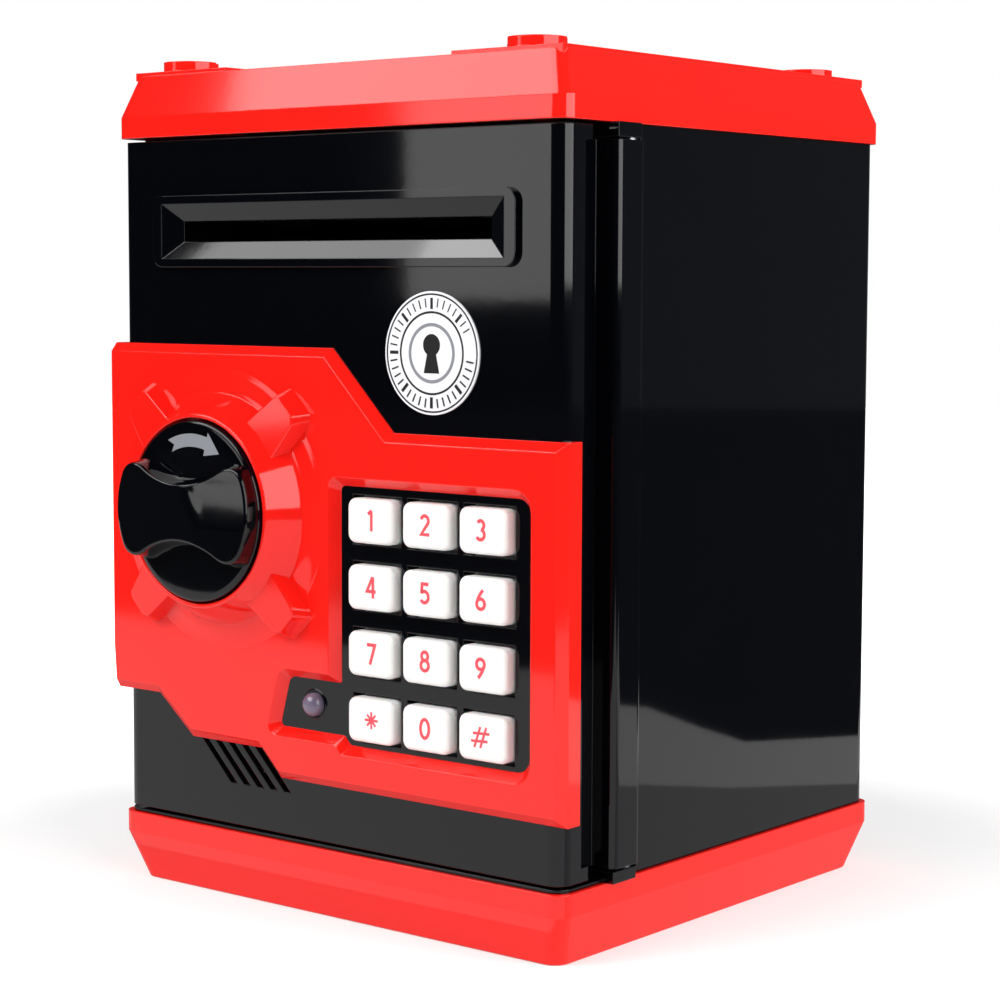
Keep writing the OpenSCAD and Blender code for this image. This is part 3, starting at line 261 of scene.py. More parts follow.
def loops_to_faces(loops, cap0=False, cap1=False):
    """points and faces of a skin over closed loops of equal length"""
    verts, faces = [], []
    for ring in loops:
        verts += ring
    n = len(loops[0])
    for i in range(len(loops) - 1):
        for j in range(n):
            a, b = i * n + j, i * n + (j + 1) % n
            faces.append((a, b, b + n, a + n))
    if cap0:
        faces.append(tuple(range(n))[::-1])
    if cap1:
        faces.append(tuple(range((len(loops) - 1) * n, len(loops) * n)))
    return verts, faces


def lathe_y(name, prof, cx, cz, mat, body, n=128, angle=30, cap0=False, cap1=False):
    """turns a profile of (radius, y) about an axis along Y"""
    turn = [2 * math.pi * k / n for k in range(n)]
    loops = [[(cx + r * math.cos(a), y, cz + r * math.sin(a)) for a in turn] for r, y in prof]
    v, f = loops_to_faces(loops, cap0, cap1)
    return make(name, v, f, mat, body, angle=angle)


def rrect(w, h, r, n=6):
    """outline of a rounded rectangle"""
    pts = []
    x, z = w / 2 - r, h / 2 - r
    for cx, cz, a0 in ((x, z, 0), (-x, z, 90), (-x, -z, 180), (x, -z, 270)):
        for k in range(n + 1):
            a = math.radians(a0 + 90 * k / n)
            pts.append((cx + r * math.cos(a), cz + r * math.sin(a)))
    return pts


def prism(P, cx, cz, y0, y1, base=0):
    """a flat outline made solid between y0 and y1; base counts the points before it"""
    n = len(P)
    v = [(cx + x, y0, cz + z) for x, z in P] + [(cx + x, y1, cz + z) for x, z in P]
    f = [tuple(range(base, base + n)), tuple(range(base + n, base + 2 * n))[::-1]]
    f += [(base + i, base + (i + 1) % n, base + (i + 1) % n + n, base + i + n) for i in range(n)]
    return v, f


# ---------- red front panel ----------
def inset(poly, d):
    """moves each edge of a clockwise (x, z) outline inwards by d"""
    n = len(poly)
    lines = []
    for i in range(n):
        (x0, z0), (x1, z1) = poly[i], poly[(i + 1) % n]
        length = math.hypot(x1 - x0, z1 - z0)
        tx, tz = (x1 - x0) / length, (z1 - z0) / length
        lines.append((x0 + tz * d, z0 - tx * d, tx, tz))
    out = []
    for i in range(n):
        x0, z0, tx, tz = lines[i - 1]
        x1, z1, ux, uz = lines[i]
        det = tx * uz - tz * ux
        if abs(det) < 1e-9:
            out.append((x1, z1))
            continue
        t = ((x1 - x0) * uz - (z1 - z0) * ux) / det
        out.append((x0 + tx * t, z0 + tz * t))
    return out


def fillet(poly, radii, n=5):
    """rounds the corners of a polygon, each by its own radius"""
    out = []
    for i in range(len(poly)):
        p, a, b = Vector(poly[i]), Vector(poly[i - 1]), Vector(poly[(i + 1) % len(poly)])
        u, w = (a - p).normalized(), (b - p).normalized()
        half = u.angle(w) / 2
        t = radii[i] / math.tan(half)
        c = p + (u + w).normalized() * (radii[i] / math.sin(half))
        s, e = p + u * t - c, p + w * t - c
        a0 = math.atan2(s.y, s.x)
        d = (math.atan2(e.y, e.x) - a0 + math.pi) % (2 * math.pi) - math.pi
        for k in range(n + 1):
            q = a0 + d * k / n
            out.append((c.x + radii[i] * math.cos(q), c.y + radii[i] * math.sin(q)))
    return out


PANEL_HALF = high("front_panel", 0)
PANEL_LOW, PANEL_TOP = low("front_panel", 2), high("front_panel", 2)
PANEL_CHAMFER = 2.0
LEFT_DRAFT = 0.4               # the left edge has a slight draft and no chamfer
FACET_DROP = 0.55              # the lower left facet lies this much deeper
PANEL_OUTLINE = [(-PANEL_HALF, PANEL_TOP), (2.0, PANEL_TOP), (19.5, 108.4), (PANEL_HALF, 108.4),
                 (PANEL_HALF, PANEL_LOW), (-13.8, PANEL_LOW), (-19.9, 36.0), (-41.9, 36.0),
                 (-52.8, 45.0), (-PANEL_HALF, 45.0)]
# window of the keypad with its lamp corner, clockwise
WINDOW = [(4.3, 96.4), (56.3, 96.4), (56.3, 39.9), (6.9, 39.9), (5.2, 41.8), (-14.2, 41.8),
          (-11.1, 53.2), (4.3, 53.2)]
WINDOW_R = [1.2, 3.0, 3.0, 1.2, 1.2, 1.0, 2.0, 0.6]
RIM_R = [2.6, 4.6, 4.6, 0.9, 2.2, 2.6, 3.6, 0.2]
RIM_FLARE = 2.0


def fill_between(bm, outlines):
    """fills the flat area between an outline and its hole"""
    edges = []
    for ring in outlines:
        for i in range(len(ring)):
            a, b = ring[i], ring[(i + 1) % len(ring)]
            edges.append(bm.edges.get((a, b)) or bm.edges.new((a, b)))
    bmesh.ops.triangle_fill(bm, use_beauty=True, use_dissolve=False, edges=edges)


def panel_plate():
    """the red plate with its chamfer, lower left facet, keypad window and side wraps"""
    bm = bmesh.new()
    y_back = DOOR_FRONT + 0.55
    y_mid = PANEL_FRONT + PANEL_CHAMFER
    y_wrap = DOOR_FRONT + 3.8      # how far the wraps reach over the door's sides
    x_in = PANEL_HALF - 1.95       # inner face of the wraps
    n = len(PANEL_OUTLINE)

    def vert(p, y):
        return bm.verts.new((p[0] * MM, y * MM, p[1] * MM))

    def face(*a):
        bm.faces.new(a)

    top = inset(PANEL_OUTLINE, PANEL_CHAMFER)
    for i in (0, 9):
        top[i] = (-PANEL_HALF + LEFT_DRAFT, top[i][1])
    front = [vert(p, PANEL_FRONT) for p in top]
    for i in (7, 8, 9):
        front[i].co.y = (PANEL_FRONT + FACET_DROP) * MM
    shoulder = [vert(p, y_mid) for p in PANEL_OUTLINE]
    crease = [(-PANEL_HALF + LEFT_DRAFT, 55.6), (-27.5, 50.8), (-21.0, 41.8)]
    crease = [vert(p, PANEL_FRONT) for p in crease]
    hole = fillet(WINDOW, WINDOW_R)
    rim = [vert(p, PANEL_FRONT) for p in fillet(inset(WINDOW, -RIM_FLARE), RIM_R)]
    hole_front = [vert(p, DOOR_FRONT) for p in hole]
    hole_back = [vert(p, y_back) for p in hole]
    for i in range(n):
        j = (i + 1) % n
        if i == 9:
            face(shoulder[9], shoulder[0], front[0], crease[0])
            face(shoulder[9], crease[0], front[9])
        else:
            face(shoulder[i], shoulder[j], front[j], front[i])
    for i in range(len(rim)):
        j = (i + 1) % len(rim)
        face(rim[i], rim[j], hole_front[j], hole_front[i])
        face(hole_front[i], hole_front[j], hole_back[j], hole_back[i])
    face(front[9], *crease, front[6], front[7], front[8])
    fill_between(bm, (front[:7] + crease[::-1], rim))

    # side walls, with the wraps over the door's sides
    def pulled_in(p):
        return (math.copysign(x_in, p[0]) if abs(p[0]) == PANEL_HALF else p[0], p[1])

    back = [vert(pulled_in(p), y_back) for p in PANEL_OUTLINE]
    side = {0, 3, 4, 9}
    wrap_out = {i: vert(PANEL_OUTLINE[i], y_wrap) for i in side}
    wrap_in = {i: vert(pulled_in(PANEL_OUTLINE[i]), y_wrap) for i in side}
    for i in range(n):
        j = (i + 1) % n
        if (i, j) in ((3, 4), (9, 0)):
            face(shoulder[j], shoulder[i], wrap_out[i], wrap_out[j])
            face(wrap_out[j], wrap_out[i], wrap_in[i], wrap_in[j])
            face(wrap_in[j], wrap_in[i], back[i], back[j])
            continue
        ring = [shoulder[j], shoulder[i]]
        if i in side:
            ring += [wrap_out[i], wrap_in[i]]
        ring += [back[i], back[j]]
        if j in side:
            ring += [wrap_in[j], wrap_out[j]]
        face(*ring)
    fill_between(bm, (back, hole_back))
    bmesh.ops.recalc_face_normals(bm, faces=bm.faces)
    bmesh.ops.dissolve_limit(bm, angle_limit=math.radians(0.3), verts=bm.verts, edges=bm.edges,
                             delimit={"NORMAL"})
    me = bpy.data.meshes.new("panel")
    bm.to_mesh(me)
    bm.free()
    o = bpy.data.objects.new("front_panel_plate", me)
    bpy.context.collection.objects.link(o)
    me.materials.append(RED)
    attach(o, "door")
    return bevel(o, 0.32, 2, 12)


def collar():
    """the cone round the knob, with its sweeping foot and rolled lip"""
    foot = [(32.4, 0.3), (31.9, 0.02), (31.2, -0.04), (30.4, -0.14), (29.4, -0.34), (28.4, -0.62),
            (27.4, -0.88), (26.5, -1.02), (26.05, -1.05), (26.0, -1.1)]
    cone = [(26.0 - k / 12 * (26.0 - 21.75), -1.1 - k / 12 * (7.75 - 1.1)) for k in range(1, 13)]
    lip = [(21.66, -7.9), (21.45, -8.05), (21.2, -8.1), (20.9, -8.05), (20.75, -7.9), (20.68, -7.6)]
    seat_y = -66.1
    prof = [(r, PANEL_FRONT + y) for r, y in foot + cone + lip]
    prof += [(20.65, seat_y), (6.1, seat_y), (6.1, PANEL_FRONT + 0.3)]
    return lathe_y("front_panel_collar", prof, KNOB_X, KNOB_Z, RED, "door", n=160, angle=28)


def lug(a, name):
    """one of the four lugs round the collar, at a degrees"""
    foot = [(19.5, -7.2), (34.0, -4.9), (35.4, -3.9), (35.4, 3.9), (34.0, 4.9), (19.5, 7.2)]
    head = [(19.5, -5.9), (32.2, -4.0), (33.4, -2.6), (33.4, 2.6), (32.2, 4.0), (19.5, 5.9)]
    ca, sa = math.cos(math.radians(a)), math.sin(math.radians(a))

    def at(p, y):
        return (KNOB_X + p[0] * ca - p[1] * sa, y, KNOB_Z + p[0] * sa + p[1] * ca)

    v = [at(p, PANEL_FRONT + 0.3) for p in foot]
    v += [at(p, PANEL_FRONT - (4.9 if p[0] < 25 else 4.0)) for p in head]
    faces = [(i, (i + 1) % 6, (i + 1) % 6 + 6, i + 6) for i in range(6)]
    faces += [(5, 4, 3, 2, 1, 0), (6, 7, 8, 9, 10, 11)]
    return bevel(make(name, v, faces, RED, "door"), 0.3, 3, 18)


panel_pieces = [panel_plate(), collar()]
panel_pieces += [lug(a, "front_panel_lug_%d" % i) for i, a in enumerate((45, 135, 225, 315))]
for o in panel_pieces:
    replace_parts(o, "front_panel")

# ---------- knob ----------
GRIP_TOP = low("knob", 1)
GRIP_HEIGHT = 4.9
DISC_FRONT = GRIP_TOP + GRIP_HEIGHT
DISC_BACK = -66.4
DISC_R = width("knob", 0) / 2
BOSS_R, BOSS_BACK = 5.9, -56.0
SHAFT_R, SHAFT_END = 4.0, high("knob", 1)
WAIST_MIDDLE = 27.8            # distance of the waists' centres from the axis


def grip_outline(end_r, waist_r, m=28):
    """two round ends of radius end_r and two hollow waists of radius waist_r, with rounded corners"""
    c = WAIST_MIDDLE
    z = (c * c - waist_r * waist_r + end_r * end_r) / (2 * c)
    x = math.sqrt(end_r * end_r - z * z)
    a, b = math.atan2(z, x), math.atan2(z - c, x)
    ends = [-a + 2 * a * k / m for k in range(m)]
    waist = [b + (-math.pi - 2 * b) * k / m for k in range(m)]
    pts = [(end_r * math.cos(q), end_r * math.sin(q)) for q in ends]
    pts += [(waist_r * math.cos(q), c + waist_r * math.sin(q)) for q in waist]
    pts += [(end_r * math.cos(q + math.pi), end_r * math.sin(q + math.pi)) for q in ends]
    pts += [(waist_r * math.cos(q + math.pi), -c + waist_r * math.sin(q + math.pi)) for q in waist]
    corners = [(sx * x, sz * z) for sx in (1, -1) for sz in (1, -1)]
    reach, fade = 4.2, 2.2
    near = {}
    for i, p in enumerate(pts):
        d = min(math.hypot(p[0] - q[0], p[1] - q[1]) for q in corners)
        if d < reach:
            near[i] = min(1.0, (reach - d) / fade)
    for _ in range(26):            # rounds the four corners
        old = list(pts)
        for i, g in near.items():
            u, w = old[i - 1], old[(i + 1) % len(old)]
            pts[i] = tuple(old[i][k] + g * 0.25 * (u[k] + w[k] - 2 * old[i][k]) for k in (0, 1))
    return pts


def dome(x, z):
    """the grip's top falls away from a bent crease to its right end"""
    crease = 1.5 + 4.5 * max(0.0, min(1.0, (7.0 - z) / 14.0)) ** 1.4
    d = max(0.0, x - crease)
    twist = 0.05 * max(0.0, z + 3.0) * min(1.0, d / 4.0)
    return GRIP_TOP + 0.02 + x * x / 900.0 + z * z / 900.0 + d * 0.07 + twist


def knob_grip():
    """the grip's foot, hollowed sides, rounded rim and domed top, as one skin"""
    foot_y = DISC_FRONT + 0.3
    loops = [[(KNOB_X + x, foot_y, KNOB_Z + z) for x, z in grip_outline(20.0, 20.1)]]
    for end_r, waist_r, rise in ((19.95, 20.6, 0.15), (19.85, 21.1, 0.45), (19.75, 21.4, 0.8)):
        loops.append([(KNOB_X + x, foot_y + (dome(x, z) - foot_y) * rise, KNOB_Z + z)
                      for x, z in grip_outline(end_r, waist_r)])
    for ins, drop in ((0.02, 0.35), (0.12, 0.12), (0.38, 0.0)):
        rim = grip_outline(19.7 - ins, 21.5 + ins)
        loops.append([(KNOB_X + x, dome(x, z) + drop, KNOB_Z + z) for x, z in rim])
    rim = grip_outline(19.32, 21.88)
    for t in [0.98 - 0.04 * k for k in range(24)]:
        loops.append([(KNOB_X + x * t, dome(x * t, z * t), KNOB_Z + z * t) for x, z in rim])
    v, f = loops_to_faces(loops, cap1=True)
    return make("knob_grip", v, f, BLACK, "knob", angle=50)


def knob_disc():
    """the disc behind the grip, with a rounded front edge and a boss behind it"""
    edge = [(0, 0.75), (0.1, 0.42), (0.35, 0.18), (0.75, 0.04), (1.3, 0)]
    prof = [(BOSS_R, BOSS_BACK), (BOSS_R, DISC_BACK), (DISC_R - 0.3, DISC_BACK), (DISC_R, DISC_BACK - 0.3)]
    prof += [(DISC_R - inwards, DISC_FRONT + y) for inwards, y in edge]
    prof += [(12.0, DISC_FRONT), (0.01, DISC_FRONT)]
    return lathe_y("knob_disc", prof, KNOB_X, KNOB_Z, BLACK, "knob", n=160)


def knob_shaft():
    """the shaft into the door, closed against the boss"""
    prof = [(0.01, SHAFT_END), (1.2, SHAFT_END), (SHAFT_R - 0.1, SHAFT_END), (SHAFT_R, SHAFT_END - 0.2),
            (SHAFT_R, BOSS_BACK - 0.1), (BOSS_R, BOSS_BACK - 0.1), (BOSS_R, BOSS_BACK)]
    return lathe_y("knob_shaft", prof, KNOB_X, KNOB_Z, BLACK, "knob", n=64)


disc = knob_disc()
shaft = knob_shaft()
grip = knob_grip()
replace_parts(disc, "knob")
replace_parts(grip, "knob")
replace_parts(shaft, "knob")


def knob_arrow():
    """bent arrow on the knob, without lettering"""
    tail, neck, steps = 116, 74, 24
    angles = [tail + (neck - tail) * k / steps for k in range(steps + 1)]
    pts = [polar(17.3, a) for a in angles]
    pts += [polar(18.4, neck), polar(15.6, neck - 17), polar(13.0, neck)]
    pts += [polar(14.4, a) for a in angles[::-1]] + [polar(15.7, tail - 5)]
    v, f = prism(pts, KNOB_X, KNOB_Z, DISC_FRONT - 0.03, DISC_FRONT - 0.03 + 0.12)
    return make("knob_arrow", v, f, SILVER, "knob", smooth=False)


knob_arrow()

# ---------- keys ----------
FLANGE_W, FLANGE_H = width("key_1", 0), width("key_1", 2)
FLANGE_BACK, FLANGE_FRONT = -55.2, -56.2
KEY_W, KEY_H = FLANGE_W - 2, FLANGE_H - 2
KEY_FRONT = low("key_1", 1) + 0.05
STEM_R, STEM_BACK = 2.4, high("key_1", 1)
INK_T = 0.12                   # thickness of the printed signs
SIGN_Y = KEY_FRONT - 0.03      # front of the signs
STROKE = 0.74
COLUMNS = [placed("key_1", 0), placed("key_2", 0), placed("key_3", 0)]
ROWS = [placed(n, 2) for n in ("key_star", "key_7", "key_4", "key_1")]
SIGN_X, SIGN_DZ = [15.15, 30.25, 45.4], 0.3   # the signs sit a little off the keys' middles


def key(name, cx, cz):
    """a cap with soft edges, its flange and the stem behind it"""
    flange = rrect(FLANGE_W, FLANGE_H, 1.2)
    loops = [[(cx + x, y, cz + z) for x, z in flange] for y in (FLANGE_BACK, FLANGE_FRONT)]
    rounding = [(0, 1.1), (0.08, 0.75), (0.26, 0.43), (0.54, 0.2), (0.92, 0.08), (1.5, 0.03), (2.6, 0)]
    for ins, y in [(0, FLANGE_FRONT - 0.15)] + [(inwards, KEY_FRONT + back) for inwards, back in rounding]:
        outline = rrect(KEY_W - 2 * ins, KEY_H - 2 * ins, max(0.4, 1.9 - ins * 0.5))
        loops.append([(cx + x, y, cz + z) for x, z in outline])
    v, f = loops_to_faces(loops, True, True)
    turn = [a * math.pi / 12 for a in range(24)]
    stem = [[(cx + STEM_R * math.cos(a), y, cz + STEM_R * math.sin(a)) for a in turn]
            for y in (FLANGE_BACK - 0.01, STEM_BACK)]
    v2, f2 = loops_to_faces(stem, True, True)
    f += [tuple(i + len(v) for i in q) for q in f2]
    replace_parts(make(name, v + v2, f, WHITE, name, angle=40), name)


def bar(pts, x0, z0, x1, z1, w):
    """adds a straight stroke's outline to pts"""
    length = math.hypot(x1 - x0, z1 - z0)
    dx, dz = (z1 - z0) / length * w / 2, (x1 - x0) / length * w / 2
    pts.append([(x0 - dx, z0 + dz), (x1 - dx, z1 + dz), (x1 + dx, z1 - dz), (x0 + dx, z0 - dz)])


def ink(name, outlines, cx, cz, body, y=SIGN_Y, mat=INK):
    """printed shapes, each a hair in front of the one before"""
    v, f = [], []
    for i, P in enumerate(outlines):
        yy = y - 0.004 * i
        v2, f2 = prism(P, cx, cz, yy, yy + INK_T, len(v))
        v += v2
        f += f2
    return make(name, v, f, mat, body, smooth=False)


def sweep(lines, name, cx, cz, body):
    """flat strokes along open or closed lines"""
    v, f = [], []
    for q, (pts, closed) in enumerate(lines):
        n, b, y = len(pts), len(v), SIGN_Y - 0.006 * q
        for i, p in enumerate(pts):
            before = pts[i - 1] if (i or closed) else p
            after = pts[(i + 1) % n] if (i < n - 1 or closed) else p
            d1 = Vector((p[0] - before[0], p[1] - before[1]))
            d2 = Vector((after[0] - p[0], after[1] - p[1]))
            if d1.length == 0:
                d1 = d2
            if d2.length == 0:
                d2 = d1
            d1.normalize()
            d2.normalize()
            t = (d1 + d2).normalized()
            m = min(1.8, 1 / max(0.2, t.dot(d1))) * STROKE / 2
            for side in (1, -1):
                for yy in (y, y + INK_T):
                    v.append((cx + p[0] - t.y * m * side, yy, cz + p[1] + t.x * m * side))
        for i in range(n if closed else n - 1):
            here, there = b + 4 * i, b + 4 * ((i + 1) % n)
            f += [(here, there, there + 2, here + 2), (here + 1, here + 3, there + 3, there + 1),
                  (here, here + 1, there + 1, there), (here + 2, there + 2, there + 3, here + 3)]
        if not closed:
            here, there = b, b + 4 * (n - 1)
            f += [(here, here + 2, here + 3, here + 1), (there, there + 1, there + 3, there + 2)]
    return make(name, v, f, INK, body, smooth=False)


def arcp(cx, cz, rx, rz, a0, a1, n=16):
    """points along an elliptical arc"""
    turn = [math.radians(a0 + (a1 - a0) * k / n) for k in range(n + 1)]
    return [(cx + rx * math.cos(a), cz + rz * math.sin(a)) for a in turn]


# each digit is a list of lines: the points, and whether the line is closed
six = [([(0.62, 2.0), (0.1, 1.42), (-0.38, 0.72), (-0.78, -0.05), (-1.02, -0.75)], False),
       (arcp(0, -0.92, 1.06, 1.06, 0, 352, 26), True)]
nine = [([(-x, -z) for x, z in line], closed) for line, closed in six]
DIGITS = {
    "1": [([(0.1, -2.3), (0.1, 2.0)], False), ([(-0.85, 1.35), (0.2, 2.12)], False)],
    "2": [(arcp(0, 0.95, 1.0, 1.02, 165, -38, 14) + [(-0.98, -1.95), (1.25, -1.95)], False)],
    "3": [(arcp(-0.05, 1.02, 0.88, 0.93, 150, -75, 14), False),
          (arcp(-0.12, -0.93, 1.08, 1.05, 82, -150, 16), False)],
    "4": [([(0.42, 2.25), (-1.2, -0.85), (1.3, -0.85)], False), ([(0.52, 2.3), (0.52, -2.3)], False)],
    "5": [([(1.0, 1.98), (-0.72, 1.98), (-0.86, 0.3)]
           + arcp(-0.12, -0.75, 1.12, 1.2, 122, -148, 18), False)],
    "6": six,
    "7": [([(-1.2, 1.98), (1.05, 1.98), (-0.35, -2.25)], False)],
    "8": [(arcp(0, 1.08, 0.86, 0.9, 0, 352, 24), True), (arcp(0, -0.9, 1.06, 1.1, 0, 352, 24), True)],
    "9": nine,
    "0": [(arcp(0, 0, 1.15, 1.98, 0, 352, 34), True)],
}


def star():
    """four strokes through one middle"""
    pts = []
    for k in range(4):
        x, z = polar(1.85 if k % 2 == 0 else 1.7, 90 + 45 * k)
        bar(pts, -x, -z, x, z, 0.5)
    return pts


def hash_sign():
    """two leaning strokes up and two nearly level ones across"""
    pts = []
    for offset in (-0.85, 0.75):
        bar(pts, offset - 0.75, -2.2, offset + 0.85, 2.2, 0.55)
    for offset in (-0.8, 0.85):
        bar(pts, -2.2 + offset * 0.3, offset - 0.08, 2.2 + offset * 0.3, offset + 0.08, 0.55)
    return pts


# column and row of each key, with the bottom row as row 0
LAYOUT = {"key_1": (0, 3), "key_2": (1, 3), "key_3": (2, 3), "key_4": (0, 2), "key_5": (1, 2),
          "key_6": (2, 2), "key_7": (0, 1), "key_8": (1, 1), "key_9": (2, 1), "key_star": (0, 0),
          "key_0": (1, 0), "key_hash": (2, 0)}
for n, (i, j) in LAYOUT.items():
    key(n, COLUMNS[i], ROWS[j])
    sx, sz = SIGN_X[i], ROWS[j] + SIGN_DZ
    if n == "key_star":
        ink("sign_star", star(), sx, sz, n)
    elif n == "key_hash":
        ink("sign_hash", hash_sign(), sx, sz, n)
    else:
        sweep(DIGITS[n[-1]], "sign_" + n[-1], sx, sz, n)

# ---------- lamp ----------
LAMP_X, LAMP_Z = placed("led", 0), placed("led", 2)
LENS_R, LENS_Y = 2.65, -60.6
lens_prof = [(3.1, -55.4), (3.1, -56.3), (LENS_R, -56.3), (LENS_R, LENS_Y)]
for k in range(1, 11):
    a = math.radians(9 * k)
    lens_prof.append((LENS_R * math.cos(a) + 0.003, LENS_Y - 2.4 * math.sin(a)))
lamp = lathe_y("lamp_lens", lens_prof, LAMP_X, LAMP_Z, LENS, "door", n=48, cap0=True, cap1=True)
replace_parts(lamp, "led")
seat_prof = [(2.72, -60.0), (2.72, -60.32), (3.0, -60.4), (3.3, -60.36), (3.5, -60.2)]
lathe_y("lamp_seat", seat_prof, LAMP_X, LAMP_Z, BLACK, "door", n=48)

# ---------- round badge: plain dial with a keyhole ----------
BADGE_X, BADGE_Z = middle("badge", 0), middle("badge", 2)
PRINT_Y = DOOR_FRONT - 0.42    # front of the badge's printed lines


def annulus(name, r0, r1, y, t, mat):
    """a thin ring from radius r0 to r1, its front at y and t thick"""
    prof = [(r0, y + t), (r0, y + 0.03), (r0 + 0.04, y), (r1 - 0.04, y), (r1, y + 0.03), (r1, y + t)]
    return lathe_y(name, prof, BADGE_X, BADGE_Z, mat, "door", n=96)


def ticks():
    """forty marks round the dial, every fifth one longer and wider"""
    pts, count, outer = [], 40, 11.5
    for k in range(count):
        inner, width = (9.6, 0.32) if k % 5 else (9.2, 0.68)
        a = 2 * math.pi * k / count
        bar(pts, inner * math.cos(a), inner * math.sin(a), outer * math.cos(a), outer * math.sin(a), width)
    return pts


def keyhole():
    """a round head over a flared foot"""
    head = [polar(2.3, -58 + 296 * k / 30) for k in range(31)]
    return [(x, 1.7 + z) for x, z in head] + [(-2.1, -4.2), (2.1, -4.2)]


disc_r = width("badge", 0) / 2 - 0.1
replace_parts(annulus("badge_disc", 0.01, disc_r, DOOR_FRONT - 0.35, 0.36, PRINT_WHITE), "badge")
annulus("badge_ring_out", 12.1, 12.45, PRINT_Y, 0.1, PRINT_BLACK)
annulus("badge_ring_in", 8.3, 8.75, PRINT_Y, 0.1, PRINT_BLACK)
ink("badge_ticks", ticks(), BADGE_X, BADGE_Z, "door", DOOR_FRONT - 0.34, PRINT_BLACK)
ink("badge_keyhole", [keyhole()], BADGE_X, BADGE_Z, "door", PRINT_Y, PRINT_BLACK)
annulus("badge_hub", 5.6, 6.3, PRINT_Y, 0.1, SILVER)


# ---------- floor, in metres ----------
def emission(tree, strength):
    e = tree.nodes.new("ShaderNodeEmission")
    e.inputs["Color"].default_value = (1, 1, 1, 1)
    e.inputs["Strength"].default_value = strength
    return e


def seen_directly(tree, light_path):
    """1 for camera rays and for rays through glass"""
    a = tree.nodes.new("ShaderNodeMath")
    a.operation = "MAXIMUM"
    tree.links.new(light_path.outputs["Is Camera Ray"], a.inputs[0])
    tree.links.new(light_path.outputs["Is Transmission Ray"], a.inputs[1])
    return a.outputs[0]


def mix_shaders(tree, fac, off, on):
    m = tree.nodes.new("ShaderNodeMixShader")
    tree.links.new(fac, m.inputs[0])
    tree.links.new(off.outputs[0], m.inputs[1])
    tree.links.new(on.outputs[0], m.inputs[2])
    return m


def floor_mat(name, lit, gloss):
    """white to the camera with a soft shadow near the object, and a set grey in gloss"""
    m = bpy.data.materials.new(name)
    m.use_nodes = True
    tree = m.node_tree
    tree.nodes.clear()
    out = tree.nodes.new("ShaderNodeOutputMaterial")
    d = tree.nodes.new("ShaderNodeBsdfDiffuse")
    d.inputs["Color"].default_value = (0.8, 0.8, 0.8, 1)
    e = emission(tree, lit)
    geo = tree.nodes.new("ShaderNodeNewGeometry")
    far = tree.nodes.new("ShaderNodeVectorMath")
    far.operation = "LENGTH"
    rise = tree.nodes.new("ShaderNodeMapRange")
    set_range(rise, 0.13, 0.34, lit, 1.0)
    tree.links.new(geo.outputs["Position"], far.inputs[0])
    tree.links.new(far.outputs["Value"], rise.inputs["Value"])
    tree.links.new(rise.outputs["Result"], e.inputs["Strength"])
    add = tree.nodes.new("ShaderNodeAddShader")
    tree.links.new(d.outputs[0], add.inputs[0])
    tree.links.new(e.outputs[0], add.inputs[1])
    light_path = tree.nodes.new("ShaderNodeLightPath")
    direct = mix_shaders(tree, seen_directly(tree, light_path), d, add)
    final = mix_shaders(tree, light_path.outputs["Is Glossy Ray"], direct, emission(tree, gloss))
    tree.links.new(final.outputs[0], out.inputs[0])
    return m


def floor_piece(name, pts, z, lit, gloss):
    """a flat piece of floor; gloss is the grey that reflections show of it"""
    me = bpy.data.meshes.new(name)
    me.from_pydata([(x, y, z) for x, y in pts], [], [tuple(range(len(pts)))])
    o = bpy.data.objects.new(name, me)
    bpy.context.collection.objects.link(o)
    me.materials.append(floor_mat(name, lit, gloss))


NEAR_Z, FAR_Z = -0.0002, -0.0006
NEAR_LIT = 0.24
floor_piece("floor_front", [(-0.7, -0.362), (0.62, -0.362), (0.458, -0.066), (-0.7, -0.066)],
            NEAR_Z, NEAR_LIT, 0.8)
floor_piece("floor_near", [(-0.7, -0.066), (0.458, -0.066), (0.45, -0.05), (0.166, 0.1), (0.14, 0.115),
                           (0.115, 0.143), (0.06, 0.22), (-0.2, 0.5), (-0.7, 0.5)], NEAR_Z, NEAR_LIT, 0.47)
floor_piece("floor_band", [(0.166, 0.1), (0.45, -0.05), (0.6, 0.15), (0.232, 0.205), (0.198, 0.186),
                           (0.174, 0.175), (0.152, 0.207), (0.1, 0.32), (0.06, 0.22), (0.115, 0.143),
                           (0.14, 0.115)], NEAR_Z, NEAR_LIT, 1.0)
floor_piece("floor_far", [(2.2 * math.cos(a / 10), 2.2 * math.sin(a / 10)) for a in range(63)],
            FAR_Z, 1.0, 0.03)


# ---------- world, lights, camera ----------
def background(tree, color, strength):
    b = tree.nodes.new("ShaderNodeBackground")
    b.inputs[0].default_value = (*color, 1)
    b.inputs[1].default_value = strength
    return b


def studio_world():
    """white to the camera, a plain level of light, and a dark room in gloss that lightens behind"""
    w = bpy.data.worlds.new("studio")
    bpy.context.scene.world = w
    w.use_nodes = True
    tree = w.node_tree
    tree.nodes.clear()
    out = tree.nodes.new("ShaderNodeOutputWorld")
    room = background(tree, (0.93, 0.96, 1), 1.0)
    place = tree.nodes.new("ShaderNodeTexCoord")
    xyz = tree.nodes.new("ShaderNodeSeparateXYZ")
    level = tree.nodes.new("ShaderNodeMapRange")
    set_range(level, -0.1, 0.8, 0.01, 0.085)
    tree.links.new(place.outputs["Generated"], xyz.inputs[0])
    tree.links.new(xyz.outputs[1], level.inputs["Value"])
    tree.links.new(level.outputs["Result"], room.inputs[1])
    light_path = tree.nodes.new("ShaderNodeLightPath")
    other = mix_shaders(tree, light_path.outputs["Is Glossy Ray"], background(tree, (1, 1, 1), 0.3), room)
    final = mix_shaders(tree, seen_directly(tree, light_path), other, background(tree, (1, 1, 1), 1.0))
    tree.links.new(final.outputs[0], out.inputs[0])


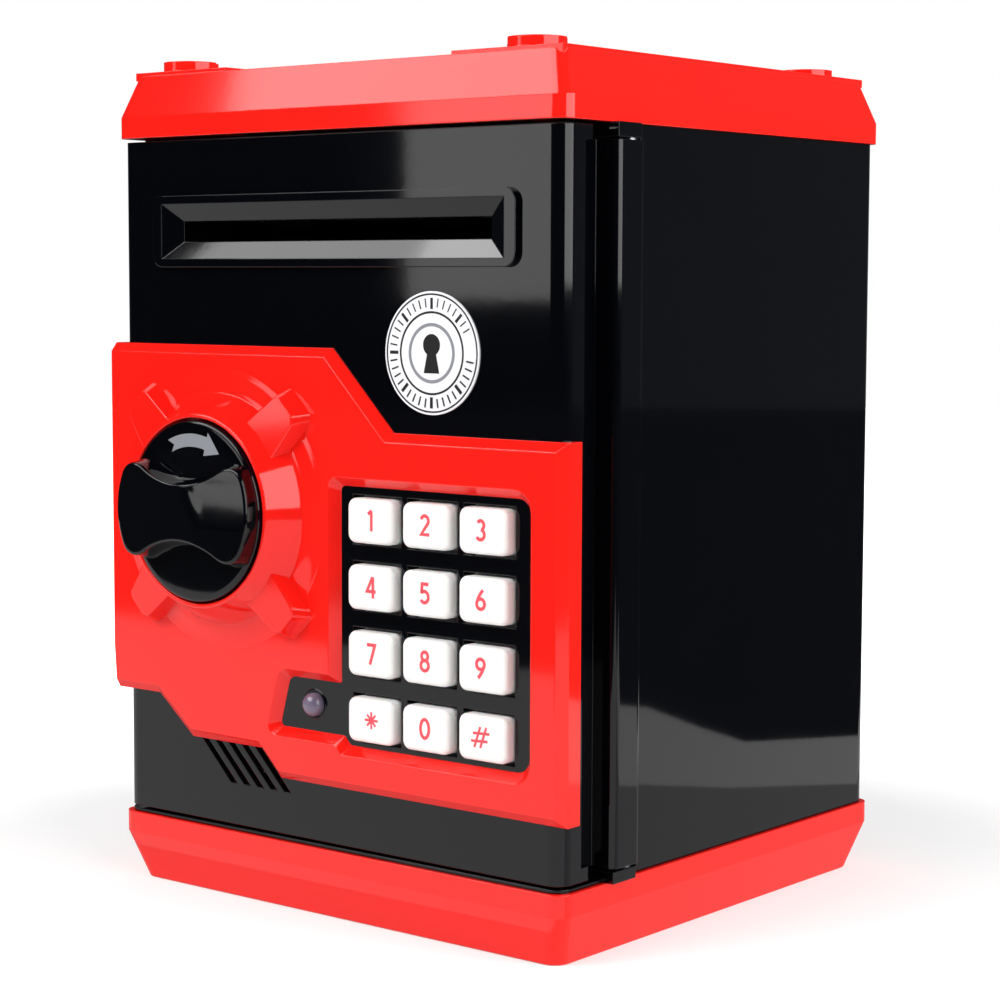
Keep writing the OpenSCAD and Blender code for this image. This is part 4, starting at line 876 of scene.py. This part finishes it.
def direction(az, el):
    """unit vector towards az, el: az 0 is in front and az 90 along +X"""
    return Vector((math.sin(az) * math.cos(el), -math.cos(az) * math.cos(el), math.sin(el)))


def area(name, az, el, dist, sx, sy, power, target=(0, 0, 0.09)):
    """a lamp sx by sy metres, seen from the target at az, el degrees, dist metres off"""
    light = bpy.data.lights.new(name, "AREA")
    light.shape = "RECTANGLE"
    light.size, light.size_y, light.energy = sx, sy, power
    o = bpy.data.objects.new(name, light)
    bpy.context.collection.objects.link(o)
    t = Vector(target)
    o.location = t + direction(math.radians(az), math.radians(el)) * dist
    o.rotation_euler = (t - o.location).to_track_quat("-Z", "Y").to_euler()
    return o


studio_world()
area("key", -26.8, 42, 1.25, 1.0, 0.75, 9)
area("key_left", -58.7, 40, 1.4, 0.18, 0.36, 0.85)
area("front_fill", -20, 35, 1.5, 1.0, 1.0, 8).visible_glossy = False
area("right_box", 91, 21, 1.3, 1.5, 0.9, 13)
area("right_fill", 112, 30, 1.4, 1.0, 0.9, 11).visible_glossy = False
area("dim_panel", -35.2, 4.4, 1.5, 0.36, 0.27, 0.6, target=(0.053, -0.06, 0.143))


def camera():
    """the photograph's viewing angle"""
    az, el, roll = math.radians(38.983), math.radians(5.167), math.radians(0.19)
    distance, target = 0.5788, Vector((-0.000428, 0, 0.088858))
    cam = bpy.data.cameras.new("cam")
    cam.sensor_width, cam.lens, cam.clip_start = 36, 88.06, 0.01
    o = bpy.data.objects.new("cam", cam)
    bpy.context.collection.objects.link(o)
    back = direction(az, el)
    right = (-back).cross(Vector((0, 0, 1))).normalized()
    up = right.cross(-back)
    x = right * math.cos(roll) + up * math.sin(roll)
    y = -right * math.sin(roll) + up * math.cos(roll)
    pos = target + back * distance
    o.matrix_world = Matrix(((x.x, y.x, back.x, pos.x), (x.y, y.y, back.y, pos.y),
                             (x.z, y.z, back.z, pos.z), (0, 0, 0, 1)))
    bpy.context.scene.camera = o


camera()
bpy.context.scene.view_settings.view_transform = "Standard"
